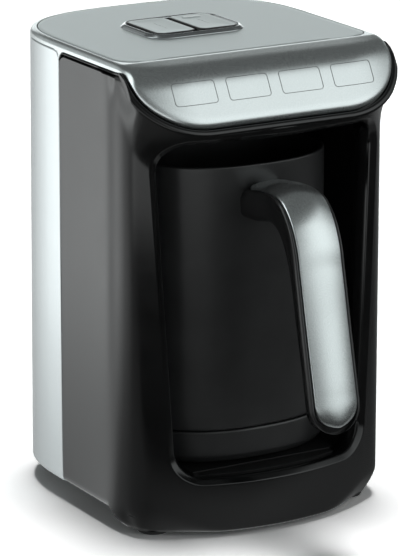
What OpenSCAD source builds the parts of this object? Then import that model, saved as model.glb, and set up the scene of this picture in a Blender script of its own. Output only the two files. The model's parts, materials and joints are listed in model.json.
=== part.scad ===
// Electric coffee maker with a niche for a pull-out jug, built as separate parts.
// Millimetres, Z up, front towards -Y. Ground at Z = 0, the whole box centred on X and Y.

/* [Body] */
// Width across the flat sides
body_w = 160.6; // [156:0.2:166]
// Middle of the curved front, from the body's axis
front_y = 83; // [81:0.5:85]
// Radius of the curved front in plan
front_r = 135; // [125:1:150]
// Radius of the front corners in plan
corner_r = 14; // [12:0.5:16]
// Depth of the rear half at its foot, from the body's axis
back_y = 98; // [96:0.5:101]
// Lean of the back, degrees
back_lean = 1.3; // [0.5:0.1:1.8]
// Shell wall
wall = 2.6; // [2:0.1:3]
// Position of the seam between front and rear shells
seam_y = 17.6; // [14:0.2:20]
// Height of the foot pads below the side walls
foot_h = 11; // [10:0.5:13]

/* [Niche] */
// Half width of the niche mouth at its foot
mouth_w0 = 58.9; // [57.5:0.1:60]
// Half width of the niche mouth at its top
mouth_w1 = 67.4; // [66:0.1:68]
// Niche floor lip
mouth_z0 = 21.6; // [20:0.2:23]
// Niche mouth top
mouth_z1 = 206; // [204:0.5:207]
// Depth of the rounded lip around the mouth
lip = 4.5; // [3.5:0.5:4.5]
// Niche back wall, from the body's axis
niche_back = 33; // [32:0.5:34]

/* [Top] */
// Top of the housing
top_z = 246.8; // [246:0.2:248]
// Thickness of the silver cover
skin = 2.4; // [2:0.1:2.6]
// Middle of the button island across the width
island_x = -2.5; // [-4:0.5:0]
// Travel of the keys
key_travel = 1; // [0.6:0.1:1.2]

/* [Jug] */
// Half width of the jug
jug_a = 55; // [54:0.5:56]
// Half depth of the jug
jug_b = 43; // [41:0.5:43]
// Jug rim height
jug_top = 188; // [184:0.5:190]
// Seam between jug body and skirt
jug_seam = 42; // [40:0.5:44]
// Jug wall
jug_wall = 2.2; // [1.8:0.1:2.6]

/* [Hidden] */
hw = body_w / 2;
shift_y = 20.11;            // centres the box from handle to back
arc_cy = front_r - front_y; // centre of the front arc
crn_x = hw - corner_r;
crn_y = arc_cy - sqrt(pow(front_r - corner_r, 2) - pow(crn_x, 2));
back_c = 20;               // where the rear curve starts
back_b = back_y - back_c;
jug_y = -20;               // jug centre
jug_z0 = 22.6;             // underside of the jug
floor_z = 22.2;            // top of the niche floor
gap = 0.3;

black = [0.09, 0.09, 0.10];
grey = [0.36, 0.38, 0.38];
silver = [0.78, 0.81, 0.82];
satin = [0.64, 0.67, 0.67];
dark = [0.05, 0.05, 0.05];
steel = [0.70, 0.71, 0.72];
brass = [0.78, 0.63, 0.30];
green = [0.10, 0.34, 0.20];

// ---- plan outlines -------------------------------------------------------
// one quarter of a superellipse from the side (t = 0) to the end (t = 90)
function sup(a, b, n, t) = [a * pow(cos(t), 2 / n), b * pow(sin(t), 2 / n)];

// front half: flat sides, corner arcs, wide front arc, all stepped in by d
function corner_end() = atan2(crn_y - arc_cy, crn_x);
function front_half(d) = concat(
  [[hw - d, 40], [hw - d, crn_y]],
  [for (i = [1:7]) let (a = corner_end() * i / 8)
    [crn_x + (corner_r - d) * cos(a), crn_y + (corner_r - d) * sin(a)]],
  [for (i = [0:8]) let (a = corner_end() + (-90 - corner_end()) * i / 8)
    [(front_r - d) * cos(a), arc_cy + (front_r - d) * sin(a)]]);
function flip(p) = [for (i = [len(p) - 1:-1:0]) [-p[i][0], p[i][1]]];
function front_plan(d) = let (h = front_half(d)) concat(h, flip([for (i = [0:len(h) - 2]) h[i]]));

// rear half: superellipse behind the straight sides
function rear_half(d) = [for (i = [0:18]) let (t = i * 5,
  q = sup(hw - d, back_b - d, 2.9, t)) [q[0], back_c + q[1]]];
function rear_plan(d) = let (h = rear_half(d))
  concat([[hw - d, -60]], h, flip([for (i = [0:len(h) - 2]) h[i]]), [[-hw + d, -60]]);

module slab(p, z0, z1) { translate([0, 0, z0]) linear_extrude(z1 - z0) polygon(p); }
// leaning solid inside the rear outline
module rear_solid(d, z0, z1) {
  intersection() {
    translate([0, seam_y, 0]) rotate([back_lean, 0, 0]) translate([0, -seam_y, 0])
      slab(rear_plan(d), -20, 270);
    translate([-120, -62, z0]) cube([240, 190, z1 - z0]);
  }
}
// the whole body inside, stepped in by d
module body_solid(d, z0, z1) {
  intersection() { slab(front_plan(d), z0, z1); translate([-120, -120, z0 - 1]) cube([240, 140, z1 - z0 + 2]); }
  intersection() { rear_solid(d, z0, z1); translate([-120, 19, z0 - 1]) cube([240, 140, z1 - z0 + 2]); }
}

// ---- niche mouth, seen from the front, grown by e -------------------------
function arc_pts(cx, cz, r, a0, a1, n) = [for (i = [0:n]) let (a = a0 + (a1 - a0) * i / n)
  [cx + r * cos(a), cz + r * sin(a)]];
rb = 16; rt = 15;
function mouth(e) = let (w0 = mouth_w0 + e, w1 = mouth_w1 + e) concat(
  arc_pts(w0 - rb - e, mouth_z0 + rb, rb + e, -90, 0, 8),
  arc_pts(w1 - rt - e, mouth_z1 - rt, rt + e, 2, 90, 8),
  arc_pts(-(w1 - rt - e), mouth_z1 - rt, rt + e, 90, 178, 8),
  arc_pts(-(w0 - rb - e), mouth_z0 + rb, rb + e, 180, 270, 8));
module mouth_solid(e, y0, y1) {
  translate([0, y1, 0]) rotate([90, 0, 0]) linear_extrude(y1 - y0) polygon(mouth(e));
}

// ---- visor profile, side view (Y, Z), dropped square to the face by d ------
slope = 61;
face0 = [-69.9, 238.6];
face1 = [-84.7, 211.9];
function prof(d, y_end) = [
  [y_end, top_z - d], [-47.6, top_z - d], [-54 + 0.06 * d, top_z - 0.6 - d], [-59.2 + 0.2 * d, top_z - 1.7 - 0.97 * d],
  [-63.4 + 0.42 * d, top_z - 3.3 - 0.9 * d], [-66.9 + 0.6 * d, top_z - 5.5 - 0.78 * d],
  [face0[0] + 0.82 * d, face0[1] - 0.57 * d], [face1[0] + 0.8746 * d, face1[1] - 0.4848 * d]];
bend_x = 48;
bend_r = 92;
axis_y = face1[0] + bend_r;
module bent(p) {
  translate([-bend_x, 0, 0]) rotate([90, 0, 90]) linear_extrude(2 * bend_x) polygon(p);
  for (s = [0, 1]) mirror([s, 0, 0]) translate([bend_x, axis_y, 0]) rotate([0, 0, -90])
    rotate_extrude(angle = 38) polygon([for (q = p) [axis_y - q[0], q[1]]]);
}
// everything under the visor's surface dropped by d, back to y_end
module under_roll(d, y_end, z0) { bent(concat(prof(d, y_end), [[face1[0] + 0.8746 * d, z0], [y_end, z0]])); }
// outline seen from the front: flat foot, elliptical corners
function shield(x0, ax, zc, az, z_hi) = concat(
  [[x0 + ax, z_hi]],
  [for (i = [0:10]) let (t = i * 9) [x0 + ax * cos(t), zc - az * sin(t)]],
  [for (i = [10:-1:0]) let (t = i * 9) [-x0 - ax * cos(t), zc - az * sin(t)]],
  [[-x0 - ax, z_hi]]);
silver_shape = shield(41, 39.3, 241.3, 25.5, 260);
gap_shape = shield(41, 39.9, 241.3, 26.1, 260);
trim_shape = shield(40, 42, 241.3, 29.2, 260);
module front_cut(p, y0, y1) { translate([0, y1, 0]) rotate([90, 0, 0]) linear_extrude(y1 - y0) polygon(p); }

module screw(r_head, h_head, r, l) { // head up, shank down from 0
  translate([0, 0, -l]) cylinder(r = r, h = l + 0.01, $fn = 20);
  difference() {
    cylinder(r = r_head, h = h_head, $fn = 28);
    for (a = [0, 90]) rotate([0, 0, a]) translate([-r_head * 0.55, -0.4, h_head * 0.45])
      cube([r_head * 1.1, 0.8, h_head]);
  }
}
module rrect(w, d, r) { // rounded rectangle as a solid outline
  polygon(concat(arc_pts(w / 2 - r, d / 2 - r, r, 0, 90, 6), arc_pts(-w / 2 + r, d / 2 - r, r, 90, 180, 6),
    arc_pts(-w / 2 + r, -d / 2 + r, r, 180, 270, 6), arc_pts(w / 2 - r, -d / 2 + r, r, 270, 360, 6)));
}
module place() { translate([0, shift_y, foot_h]) children(); }

// ---- housing ---------------------------------------------------------------
screw_pts = [[-58, -20], [58, -20], [-48, 60], [48, 60]];
foot_pts = [[-61, -50], [61, -50], [-56, 68], [56, 68]];
module chin_cut() { // arched lower edge: low at the front, up to the side walls behind
  translate([-120, 0, 0]) rotate([90, 0, 90]) linear_extrude(240) polygon(concat(
    [[140, 0], [140, -30], [-47, -30]],
    [for (i = [0:8]) let (t = i / 8) [-47 + 15 * t, -8.6 + 8.6 * t * t * (3 - 2 * t)]]));
  // slanted flat under each front corner
  r = crn_x * sin(50) - crn_y * cos(50) + corner_r;
  for (s = [0, 1]) mirror([s, 0, 0]) rotate([0, 0, -40]) rotate([90, 0, 0]) linear_extrude(160, center = true)
    polygon([[r + 5.2, 13], [r - 11.9, -20], [r + 5.2, -20]]);
}
module front_shell() color(black) place() difference() {
  union() {
    difference() {
      slab(front_plan(0), -8.6, 241.2);
      slab(front_plan(wall), -20, 260);
    }
    // collar around the niche mouth
    intersection() {
      difference() { slab(front_plan(0.01), 5, 240); slab(front_plan(9), -20, 260); }
      mouth_solid(lip + 2.4, -120, -40);
    }
    // bosses for the base screws
    for (s = [-1, 1]) translate([s * 58, -20, 2.2]) cylinder(r = 4.5, h = 16, $fn = 32);
    for (s = [-1, 1]) translate([s > 0 ? 61 : -hw + 1, -21.5, 2.2]) cube([hw - 62, 3, 14]);
  }
  mouth_solid(0, -130, 60);
  for (i = [0:3]) let (d = lip * (i + 0.5) / 4)
    difference() {
      mouth_solid(lip - sqrt(lip * lip - pow(lip - d, 2)), -130, -30);
      slab(front_plan(lip * (i + 1) / 4), -20, 260);
    }
  chin_cut();
  // room for the visor
  front_cut(shield(40, 42.4, 241.3, 29.6, 260), -130, -43.7);
  translate([-120, -130, 236]) cube([240, 86.3, 30]);
  translate([-120, seam_y - 0.25, -30]) cube([240, 90, 300]);
  for (s = [-1, 1]) translate([s * 58, -20, 0]) cylinder(r = 1.5, h = 15, $fn = 24);
}
module rear_shell() color(silver) place() difference() {
  union() {
    difference() {
      rear_solid(0, 0, 241.2);
      rear_solid(wall, -1, 250);
    }
    for (s = [-1, 1]) translate([s * 48, 60, 2.2]) cylinder(r = 4.5, h = 16, $fn = 32);
    for (s = [-1, 1]) translate([s > 0 ? 51 : -74.5, 58.5, 2.2]) cube([23.5, 3, 14]);
  }
  translate([-120, -80, -5]) cube([240, 80 + seam_y, 260]);
  // cable inlet and cooling slots
  translate([0, 80, 16]) rotate([-90, 0, 0]) cylinder(r = 6.2, h = 40, $fn = 48);
  for (i = [-5:5]) translate([i * 6 - 1.2, 80, 26]) cube([2.4, 30, 22]);
  for (s = [-1, 1]) translate([s * 48, 60, 0]) cylinder(r = 1.5, h = 15, $fn = 24);
}
module base_plate() color(dark) place() difference() {
  union() {
    body_solid(wall + 0.3, 0.2, 2.2);
    // rib inside the arched front edge
    intersection() {
      difference() { slab(front_plan(wall + 0.3), -5, 1); slab(front_plan(wall + 2.3), -10, 5); }
      translate([-50, -100, -10]) cube([100, 42, 20]);
    }
    for (p = foot_pts) translate([p[0], p[1], -3]) cylinder(r = 10.5, h = 4, $fn = 40);
  }
  for (p = screw_pts) translate([p[0], p[1], -10]) {
    cylinder(r = 1.9, h = 20, $fn = 24);
    cylinder(r = 3.6, h = 11.2, $fn = 28);
  }
  for (p = foot_pts) translate([p[0], p[1], -4]) cylinder(r = 3.1, h = 8, $fn = 32);
  // air slots
  for (i = [-4:4]) translate([i * 8 - 1.5, 18, -5]) cube([3, 30, 12]);
}
module liner_cut() { // inside of the niche
  mouth_solid(0, -130, niche_back);
}
module niche_liner() color(dark) place() difference() {
  union() {
    intersection() {
      mouth_solid(2.2, -100, niche_back + 2.2);
      difference() { body_solid(9.2, 1, 240); translate([-90, niche_back + 2.2, 0]) cube([180, 90, 260]); }
    }
  }
  intersection() { mouth_solid(0, -130, niche_back); translate([-100, -130, floor_z - 0.4]) cube([200, 190, 220]); }
  // floor stays open for the tray
  translate([-48, -62, 10]) cube([96, 88, 14]);
  // ceiling hole for the sensor and back hole for the dock
  translate([0, -50, 200]) cylinder(r = 10.2, h = 20, $fn = 40);
  translate([-22.2, niche_back - 4, 27.8]) cube([44.4, 10, 20.4]);
}
module niche_floor() color(grey) place() difference() {
  translate([-47.7, -61.7, 17.5]) linear_extrude(floor_z - 17.5) translate([47.7, 43.7]) rrect(95.4, 87.4, 6);
  translate([-44, -58, 16]) cube([88, 80, 4]);
}

// ---- top -------------------------------------------------------------------
module lid_plan_solid(d, z0, z1) { body_solid(d, z0, z1); }
module top_cover() color(silver) place() difference() {
  union() {
    // flat rim with a rolled edge
    difference() {
      union() {
        lid_plan_solid(0, 241.4, 244.0);
        lid_plan_solid(0.7, 244.0, 244.9);
        lid_plan_solid(1.6, 244.9, 245.9);
        lid_plan_solid(3.0, 245.9, top_z);
      }
      translate([-120, -130, 230]) cube([240, 82.4, 30]);
      difference() { lid_plan_solid(wall + 3.4, 230, 245.0); translate([-120, -60, 225]) cube([240, 15, 40]); }
    }
    // silver fascia following the roll
    intersection() {
      difference() { under_roll(0, -47.5, 205); under_roll(skin, -40, 200); }
      front_cut(silver_shape, -130, -47);
      slab([[-hw, -130], [hw, -130], [hw, 0], [-hw, 0]], 200, 260);
    }
  }
  // pocket for the inlay panel and hole for the buttons
  panel_shape(0, 246.0, 260);
  translate([island_x, 21, 230]) linear_extrude(40) rrect(56, 44, 11);
}
module panel_shape(d, z0, z1) {
  intersection() {
    lid_plan_solid(3.4 + d, z0, z1);
    translate([0, -47.4 + d, 0]) union() {
      translate([-120, 12, z0]) cube([240, 160, z1 - z0]);
      translate([-65.2, 0, z0]) cube([130.4, 20, z1 - z0]);
      for (s = [-1, 1]) translate([s * 65.2, 12, z0]) cylinder(r = 12 - d, h = z1 - z0, $fn = 48);
    }
  }
}
module top_panel() color(satin) place() difference() {
  panel_shape(0.15, 246.05, top_z);
  translate([island_x, 21, 230]) linear_extrude(40) rrect(56, 44, 11);
}
module fascia_trim() color(black) place() difference() {
  intersection() {
    union() {
      under_roll(0.3, -45, 200);
      difference() { under_roll(-0.1, -45, 200); front_cut(gap_shape, -130, -20); }
    }
    front_cut(trim_shape, -130, -44);
    translate([-120, -130, 212.1]) cube([240, 90, 28.9]);
  }
  // bed of the silver fascia
  intersection() {
    difference() { under_roll(-5, -20, 200); under_roll(skin + 0.2, -20, 190); }
    front_cut(gap_shape, -130, -20);
  }
  // hollow inside
  intersection() {
    under_roll(skin + 2.4, -20, 200);
    front_cut(shield(36, 39.5, 241.3, 24.5, 260), -130, -40);
    translate([-120, -130, 214.5]) cube([240, 130, 60]);
  }
}
module button_bezel() color(silver) place() difference() {
  union() {
    translate([island_x, 21, 246.9]) linear_extrude(0.9) rrect(61, 48, 13);
    translate([island_x, 21, 247.8]) linear_extrude(0.8) rrect(59.4, 46.4, 12.2);
    translate([island_x, 21, 248.6]) linear_extrude(0.6) rrect(57.4, 44.4, 11.2);
    translate([island_x, 21, 240]) linear_extrude(7) rrect(55.4, 43.4, 10.7);
  }
  translate([island_x, 21, 241.5]) linear_extrude(20) rrect(53.8, 40.8, 9.4);
  for (x = [lkx, rkx]) translate([x, 21, 235]) cylinder(r = 6.6, h = 10, $fn = 40);
  translate([rkx, 34, 235]) cylinder(r = 2.2, h = 10, $fn = 24);
}
module key(w, x) { // dished key cap with a stem underneath
  translate([x, 21, 244.8]) difference() {
    union() {
      linear_extrude(3.6) rrect(w - 0.8, 38.2, 6);
      linear_extrude(3.1) rrect(w, 39, 6.2);
    }
    translate([0, 0, -1]) linear_extrude(2.6) rrect(w - 3, 36, 5);
  }
  translate([x, 21, 237.7]) cylinder(r = 1.9, h = 9.1, $fn = 32);
  translate([x, 21, 243.2]) cylinder(r = 6, h = 3.4, $fn = 40);
}
lkx = island_x - 13.3;
rkx = island_x + 13.3;
module left_button() color(satin) place() key(24.4, lkx);
module right_button() color(satin) place() difference() {
  key(24.4, rkx);
  translate([rkx, 21 + 13, 240]) linear_extrude(20) rrect(11.6, 3.2, 1.5);
}
module indicator_guide() color([0.85, 0.9, 0.9]) place()
  translate([rkx, 21 + 13, 245.4]) linear_extrude(2.9) rrect(11.3, 2.9, 1.4);
module coil(x) { // wire coil from tilted half turns, standing on the board around the switch
  r = 5.1; w = 0.3; turns = 5; pitch = (8.5 - 2 * w) / turns; tilt = asin(pitch / (4 * r));
  for (i = [0:2 * turns - 1]) translate([x, 21, 234.65 + w + pitch * (i + 0.5) / 2])
    rotate([0, i % 2 == 0 ? tilt : -tilt, i % 2 == 0 ? 0 : 180]) rotate_extrude(angle = 180, $fn = 32)
      translate([r / cos(tilt), 0]) circle(r = w, $fn = 8);
}
module left_key_spring() color(steel) place() coil(lkx);
module right_key_spring() color(steel) place() coil(rkx);
module control_board() color(green) place() difference() {
  translate([-50, -18, 233]) cube([94, 74, 1.6]);
  for (p = [[-46, -14], [40, -14], [-46, 52], [40, 52]]) translate([p[0], p[1], 230]) cylinder(r = 1.7, h = 8, $fn = 24);
}
module board_screws() color(steel) place() for (p = [[-46, -14], [40, -14], [-46, 52], [40, 52]])
  translate([p[0], p[1], 233]) mirror([0, 0, 1]) screw(2.8, 1.6, 1.4, 7.6);
module tact(x) {
  translate([x - 3, 18, 234.6]) cube([6, 6, 1.4]);
  translate([x, 21, 235.9]) cylinder(r = 1.6, h = 0.5, $fn = 24);
}
module left_switch() color(dark) place() tact(lkx);
module right_switch() color(dark) place() tact(rkx);
module status_led() color([0.9, 0.9, 0.8]) place() {
  translate([rkx - 1.6, 32.6, 234.6]) cube([3.2, 2.8, 1.2]);
  translate([rkx, 34, 235.8]) cylinder(r = 1.1, h = 0.8, $fn = 24);
}
module buzzer() color(dark) place() translate([-32, 40, 234.6]) difference() {
  cylinder(r = 6, h = 5, $fn = 40);
  translate([0, 0, 3]) cylinder(r = 1.2, h = 4, $fn = 24);
}
module sensor_housing() color(dark) place() difference() {
  union() {
    translate([0, -50, 202]) cylinder(r = 9.8, h = 6.4, $fn = 48);
    translate([0, -50, 208.5]) cylinder(r = 13, h = 2, $fn = 48);
    translate([0, -50, 208.3]) cylinder(r = 9.8, h = 3.5, $fn = 48);
  }
  translate([0, -50, 196]) cylinder(r = 6, h = 9, $fn = 40);
  translate([0, -50, 204]) cylinder(r = 4.8, h = 5, $fn = 40);
  translate([0, -50, 206.5]) cylinder(r = 7.5, h = 20, $fn = 40);
}
module sensor_lens() color([0.2, 0.22, 0.3]) place() {
  translate([0, -50, 202.8]) cylinder(r = 5.9, h = 1.6, $fn = 40);
  translate([0, -50, 204.3]) cylinder(r = 4.6, h = 2.6, $fn = 40);
}

// ---- electrics behind the niche ---------------------------------------------
module power_board() color(green) place() translate([-45, 38.5, 60]) cube([90, 1.6, 120]);
module transformer() color([0.75, 0.6, 0.2]) place() {
  translate([-30, 40.1, 80]) cube([28, 20, 8]);
  translate([-30, 40.1, 104]) cube([28, 20, 8]);
  translate([-26, 40.1, 88]) cube([20, 19, 16]);
}
module relay() color([0.1, 0.2, 0.5]) place() translate([8, 40.1, 84]) cube([20, 16, 24]);
module capacitor() color(dark) place() for (x = [-20, 14]) translate([x, 40.1, 134]) rotate([-90, 0, 0]) {
  cylinder(r = 7, h = 20, $fn = 40);
}
module heatsink() color(steel) place() {
  translate([-10, 40.1, 150]) cube([20, 3, 22]);
  for (i = [0:3]) translate([-10 + i * 6, 43, 150]) cube([2, 12, 22]);
}
module ribbon_cable() color(grey) place() {
  translate([-6, 36.6, 172]) cube([12, 0.8, 56]);
  translate([-6, 36.6, 172]) cube([12, 1.85, 6]);
  translate([-6, 36.6, 227.2]) cube([12, 12, 0.8]);
  translate([-6, 42.6, 227.2]) cube([12, 6, 5.75]);
}
module dock_socket() color(dark) place() difference() {
  union() {
    translate([-22, niche_back - 6, 28]) cube([44, 14, 20]);
    translate([-27, niche_back + 2.4, 23]) cube([54, 3, 30]);
  }
  for (x = [-12, 0, 12]) translate([x, niche_back - 10, 38]) rotate([-90, 0, 0]) cylinder(r = 3, h = 14.2, $fn = 32);
  for (x = [-12, 0, 12]) translate([x, niche_back, 38]) rotate([-90, 0, 0]) cylinder(r = 1.65, h = 14, $fn = 24);
}
module dock_contacts() color(brass) place() for (x = [-12, 0, 12]) translate([x, niche_back + 4.3, 38])
  rotate([-90, 0, 0]) { cylinder(r = 1.6, h = 9, $fn = 24); }
module inlet_grommet() color(dark) place() difference() {
  union() {
    translate([0, 89.5, 16]) rotate([-90, 0, 0]) cylinder(r = 6, h = 11.5, $fn = 48);
    translate([0, 98.7, 16]) rotate([-90, 0, 0]) cylinder(r = 8.2, h = 2.6, $fn = 48);
  }
  translate([0, 60, 16]) rotate([-90, 0, 0]) cylinder(r = 3.4, h = 60, $fn = 48);
}
module terminal_block() color([0.85, 0.85, 0.8]) place() difference() {
  translate([-16, 60, 2.3]) cube([32, 12, 12]);
  for (i = [-1:1]) translate([i * 10, 66, 8]) cylinder(r = 3, h = 10, $fn = 24);
}
module thermal_fuse() color(steel) place() translate([-40, -14, 10]) rotate([0, 90, 0]) {
  cylinder(r = 2, h = 12, $fn = 24);
  translate([0, 0, -8]) cylinder(r = 0.6, h = 28, $fn = 16);
}
module foot(x, y) {
  translate([x, y, -foot_h]) cylinder(r = 9, h = foot_h - 3.1, $fn = 48);
  translate([x, y, -4]) cylinder(r = 2.9, h = 6.9, $fn = 32);
  translate([x, y, 2.3]) cylinder(r = 4.2, h = 1.6, $fn = 32);
}
module foot_front_left() color(dark) place() foot(-61, -50);
module foot_front_right() color(dark) place() foot(61, -50);
module foot_rear_left() color(dark) place() foot(-56, 68);
module foot_rear_right() color(dark) place() foot(56, 68);
module base_screws() color(steel) place() for (p = screw_pts) translate([p[0], p[1], 1.1]) mirror([0, 0, 1]) screw(3, 2, 1.45, 11);

// ---- jug ---------------------------------------------------------------------
function jug_pts(d) = let (q = [for (i = [0:71]) let (t = i * 5, c = cos(t), s = sin(t))
  [sign(c) * (jug_a - d) * pow(abs(c), 2 / 2.4), jug_y + sign(s) * (jug_b - d) * pow(abs(s), 2 / 2.4)]]) q;
module jug_vessel() color(black) place() difference() {
  union() {
    slab(jug_pts(0), jug_seam + 0.3, jug_top - 1);
    slab(jug_pts(0.6), jug_top - 1, jug_top);
    slab(jug_pts(2.2), jug_seam - 5, jug_seam + 1);
    // pad behind the handle root
    translate([-15, -63.6, 157]) cube([30, 3, 22]);
  }
  slab(jug_pts(jug_wall), jug_seam + 4, jug_top - 3);
  slab(jug_pts(jug_wall - 0.6), jug_top - 3.01, jug_top + 5);
  slab(jug_pts(jug_wall + 2), jug_seam - 8, jug_seam + 2);
  for (x = [-8, 8]) translate([x, -70, 168]) rotate([-90, 0, 0]) cylinder(r = 2.1, h = 20, $fn = 24);
  translate([0, jug_y, 30]) cylinder(r = 3.1, h = 30, $fn = 32);
  // way for the plug
  translate([-16.4, 8, 30]) cube([32.8, 30, 11.2]);
}
// rounded foot, each step inside the niche's rounded corners: [inset, from, to]
foot_steps = [[7, 22.6, 23.6], [4.7, 23.6, 25], [2.6, 25, 26.8], [0.8, 26.8, 28.4]];
module jug_skirt() color(black) place() difference() {
  union() {
    slab(jug_pts(-0.4), 28.4, jug_seam);
    for (q = foot_steps) slab(jug_pts(q[0]), q[1], q[2]);
  }
  slab(jug_pts(2), 28.8, jug_seam + 5);
  slab(jug_pts(4.8), 26.4, jug_seam);
  slab(jug_pts(9.5), jug_z0 - 2, jug_seam);
  translate([-16.2, 5, 30.8]) cube([32.4, 30, 10]);
}
module jug_bottom() color(dark) place() difference() {
  slab(jug_pts(5.1), 26.6, 28.4);
  translate([-16.2, 8, 20]) cube([32.4, 30, 14.4]);
}
module jug_heater() color(steel) place() difference() {
  translate([0, jug_y, jug_seam - 4]) cylinder(r = 33, h = 5.6, $fn = 72);
  translate([0, jug_y, jug_seam - 5]) cylinder(r = 24, h = 3.4, $fn = 72);
  translate([0, jug_y, 30]) cylinder(r = 3.1, h = 30, $fn = 32);
}
module jug_seal() color([0.5, 0.1, 0.08]) place() difference() {
  slab(jug_pts(4.6), jug_seam - 1.2, jug_seam + 1.8);
  slab(jug_pts(7.2), jug_seam - 5, jug_seam + 5);
}
module jug_probe() color(steel) place() {
  translate([0, jug_y, 32]) cylinder(r = 2.9, h = 16, $fn = 32);
  translate([0, jug_y, 48]) cylinder(r = 1.9, h = 1.6, $fn = 32);
}
module jug_plug() color(dark) place() difference() {
  translate([-16, 13.8, 31]) cube([32, 10.5, 9.5]);
  translate([-16, 0, 29]) cube([32, 18, 4]);
  for (x = [-12, 0, 12]) translate([x, 0, 38]) rotate([-90, 0, 0]) cylinder(r = 1.75, h = 30, $fn = 24);
}
module jug_pins() color(brass) place() for (x = [-12, 0, 12]) translate([x, 13.5, 38])
  rotate([-90, 0, 0]) cylinder(r = 1.7, h = 23.4, $fn = 24);

// ---- handle ------------------------------------------------------------------
// side view (Y, Z) of the grip's outer line and inner line
outer_line = [[-60, 176.4], [-73, 177.6], [-85, 178.8], [-94, 178.6], [-100.5, 176.6], [-107, 172], [-112.6, 165.2],
  [-117, 156], [-121, 140.3], [-126.6, 115.5], [-131.6, 94], [-135, 79.6], [-137.8, 68]];
inner_line = [[-128.2, 69], [-125.2, 86.8], [-121, 102.1], [-116.8, 117.3], [-111.6, 137.6], [-105.4, 151],
  [-101, 157.4], [-95, 161.4], [-87.6, 162.6], [-77.4, 160.4], [-68, 158.6], [-60, 157.6]];
module side_view(p, x0, x1) { translate([x0, 0, 0]) rotate([90, 0, 90]) linear_extrude(x1 - x0) polygon(p); }
module grip_ends(r, z) { // front view: straight sides with a round foot
  front_cut(concat([[r, 230]], arc_pts(0, z, r, 0, -180, 20), [[-r, 230]]), -200, -50);
}
module handle_core() color(black) place() difference() {
  intersection() {
    union() {
      side_view(concat(outer_line, [[-138.6, 56]], [[-128, 56]], inner_line), -14.8, 14.8);
      side_view(concat([for (q = outer_line) q], [[-138.4, 57]], [[-126.6, 56]],
        [for (q = inner_line) [q[0] + 1.2, q[1] - 0.8]]), -12.6, 12.6);
    }
    grip_ends(14.8, 70.8);
    translate([-20, -150, 40]) cube([40, 86.2, 160]);
  }
  // channel that takes the silver inlay
  intersection() {
    difference() {
      side_view(concat([for (q = outer_line) [q[0] - 3, q[1] + 3]], [[-144, 40]], [[-100, 40]], [[-60, 100]]), -13.1, 13.1);
      side_view(concat([[-60, 172.6], [-73, 173.6], [-85, 174.8], [-92.6, 174.6], [-97.6, 173], [-103.4, 168.8], [-108.4, 162.8],
        [-112.8, 154.4], [-116.8, 139], [-122.4, 114.4], [-127.4, 93], [-130.8, 78.6], [-134, 64]],
        [[-134.6, 40]], [[-60, 40]]), -14, 14);
    }
    grip_ends(13.1, 71.2);
    translate([-20, -150, 50]) cube([40, 82.6, 160]);
  }
  for (x = [-8, 8]) translate([x, -100, 168]) rotate([-90, 0, 0]) cylinder(r = 1.4, h = 60, $fn = 24);
}
inlay_under = [[-134.9, 56], [-134.4, 64], [-131.2, 78.6], [-127.8, 93], [-122.8, 114.4], [-117.2, 139],
  [-113.2, 154.5], [-108.8, 163.1], [-103.6, 169.2], [-97.7, 173.4], [-92.6, 175], [-85, 175.2],
  [-73, 174], [-60, 173]];
module handle_inlay() color(silver) place() intersection() {
  union() {
    side_view(concat(outer_line, [[-139.2, 56]], inlay_under), -12.8, 12.8);
    for (k = [0:3]) let (w = [12.2, 11, 9, 6][k], h = [0.6, 1.3, 2, 2.6][k])
      side_view(concat([for (i = [0:12]) let (q = outer_line[i], f = min(1, i / 4))
          [q[0] - h * (i < 3 ? 0.1 : i < 7 ? 0.6 : 0.97), q[1] + h * (i < 3 ? 1 : i < 7 ? 0.7 : 0.24)]],
        [[-139.2 - h, 56]], inlay_under), -w, w);
  }
  grip_ends(12.8, 71.2);
  translate([-20, -150, 50]) cube([40, 82.3, 160]);
}
module handle_bracket() color(steel) place() difference() {
  translate([-11.4, -60.3, 159]) cube([22.8, 2, 18]);
  for (x = [-8, 8]) translate([x, -70, 168]) rotate([-90, 0, 0]) cylinder(r = 2.1, h = 20, $fn = 24);
}
module handle_screws() color(steel) place() for (x = [-8, 8]) translate([x, -58.2, 168])
  rotate([-90, 0, 0]) screw(3.4, 1.8, 1.35, 14);

front_shell();
rear_shell();
base_plate();
niche_liner();
niche_floor();
top_cover();
top_panel();
fascia_trim();
button_bezel();
left_button();
right_button();
left_key_spring();
right_key_spring();
indicator_guide();
control_board();
board_screws();
left_switch();
right_switch();
status_led();
buzzer();
sensor_housing();
sensor_lens();
power_board();
transformer();
relay();
capacitor();
heatsink();
ribbon_cable();
dock_socket();
dock_contacts();
inlet_grommet();
terminal_block();
thermal_fuse();
foot_front_left();
foot_front_right();
foot_rear_left();
foot_rear_right();
base_screws();
jug_vessel();
jug_skirt();
jug_bottom();
jug_heater();
jug_seal();
jug_probe();
jug_plug();
jug_pins();
handle_core();
handle_inlay();
handle_bracket();
handle_screws();
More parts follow.
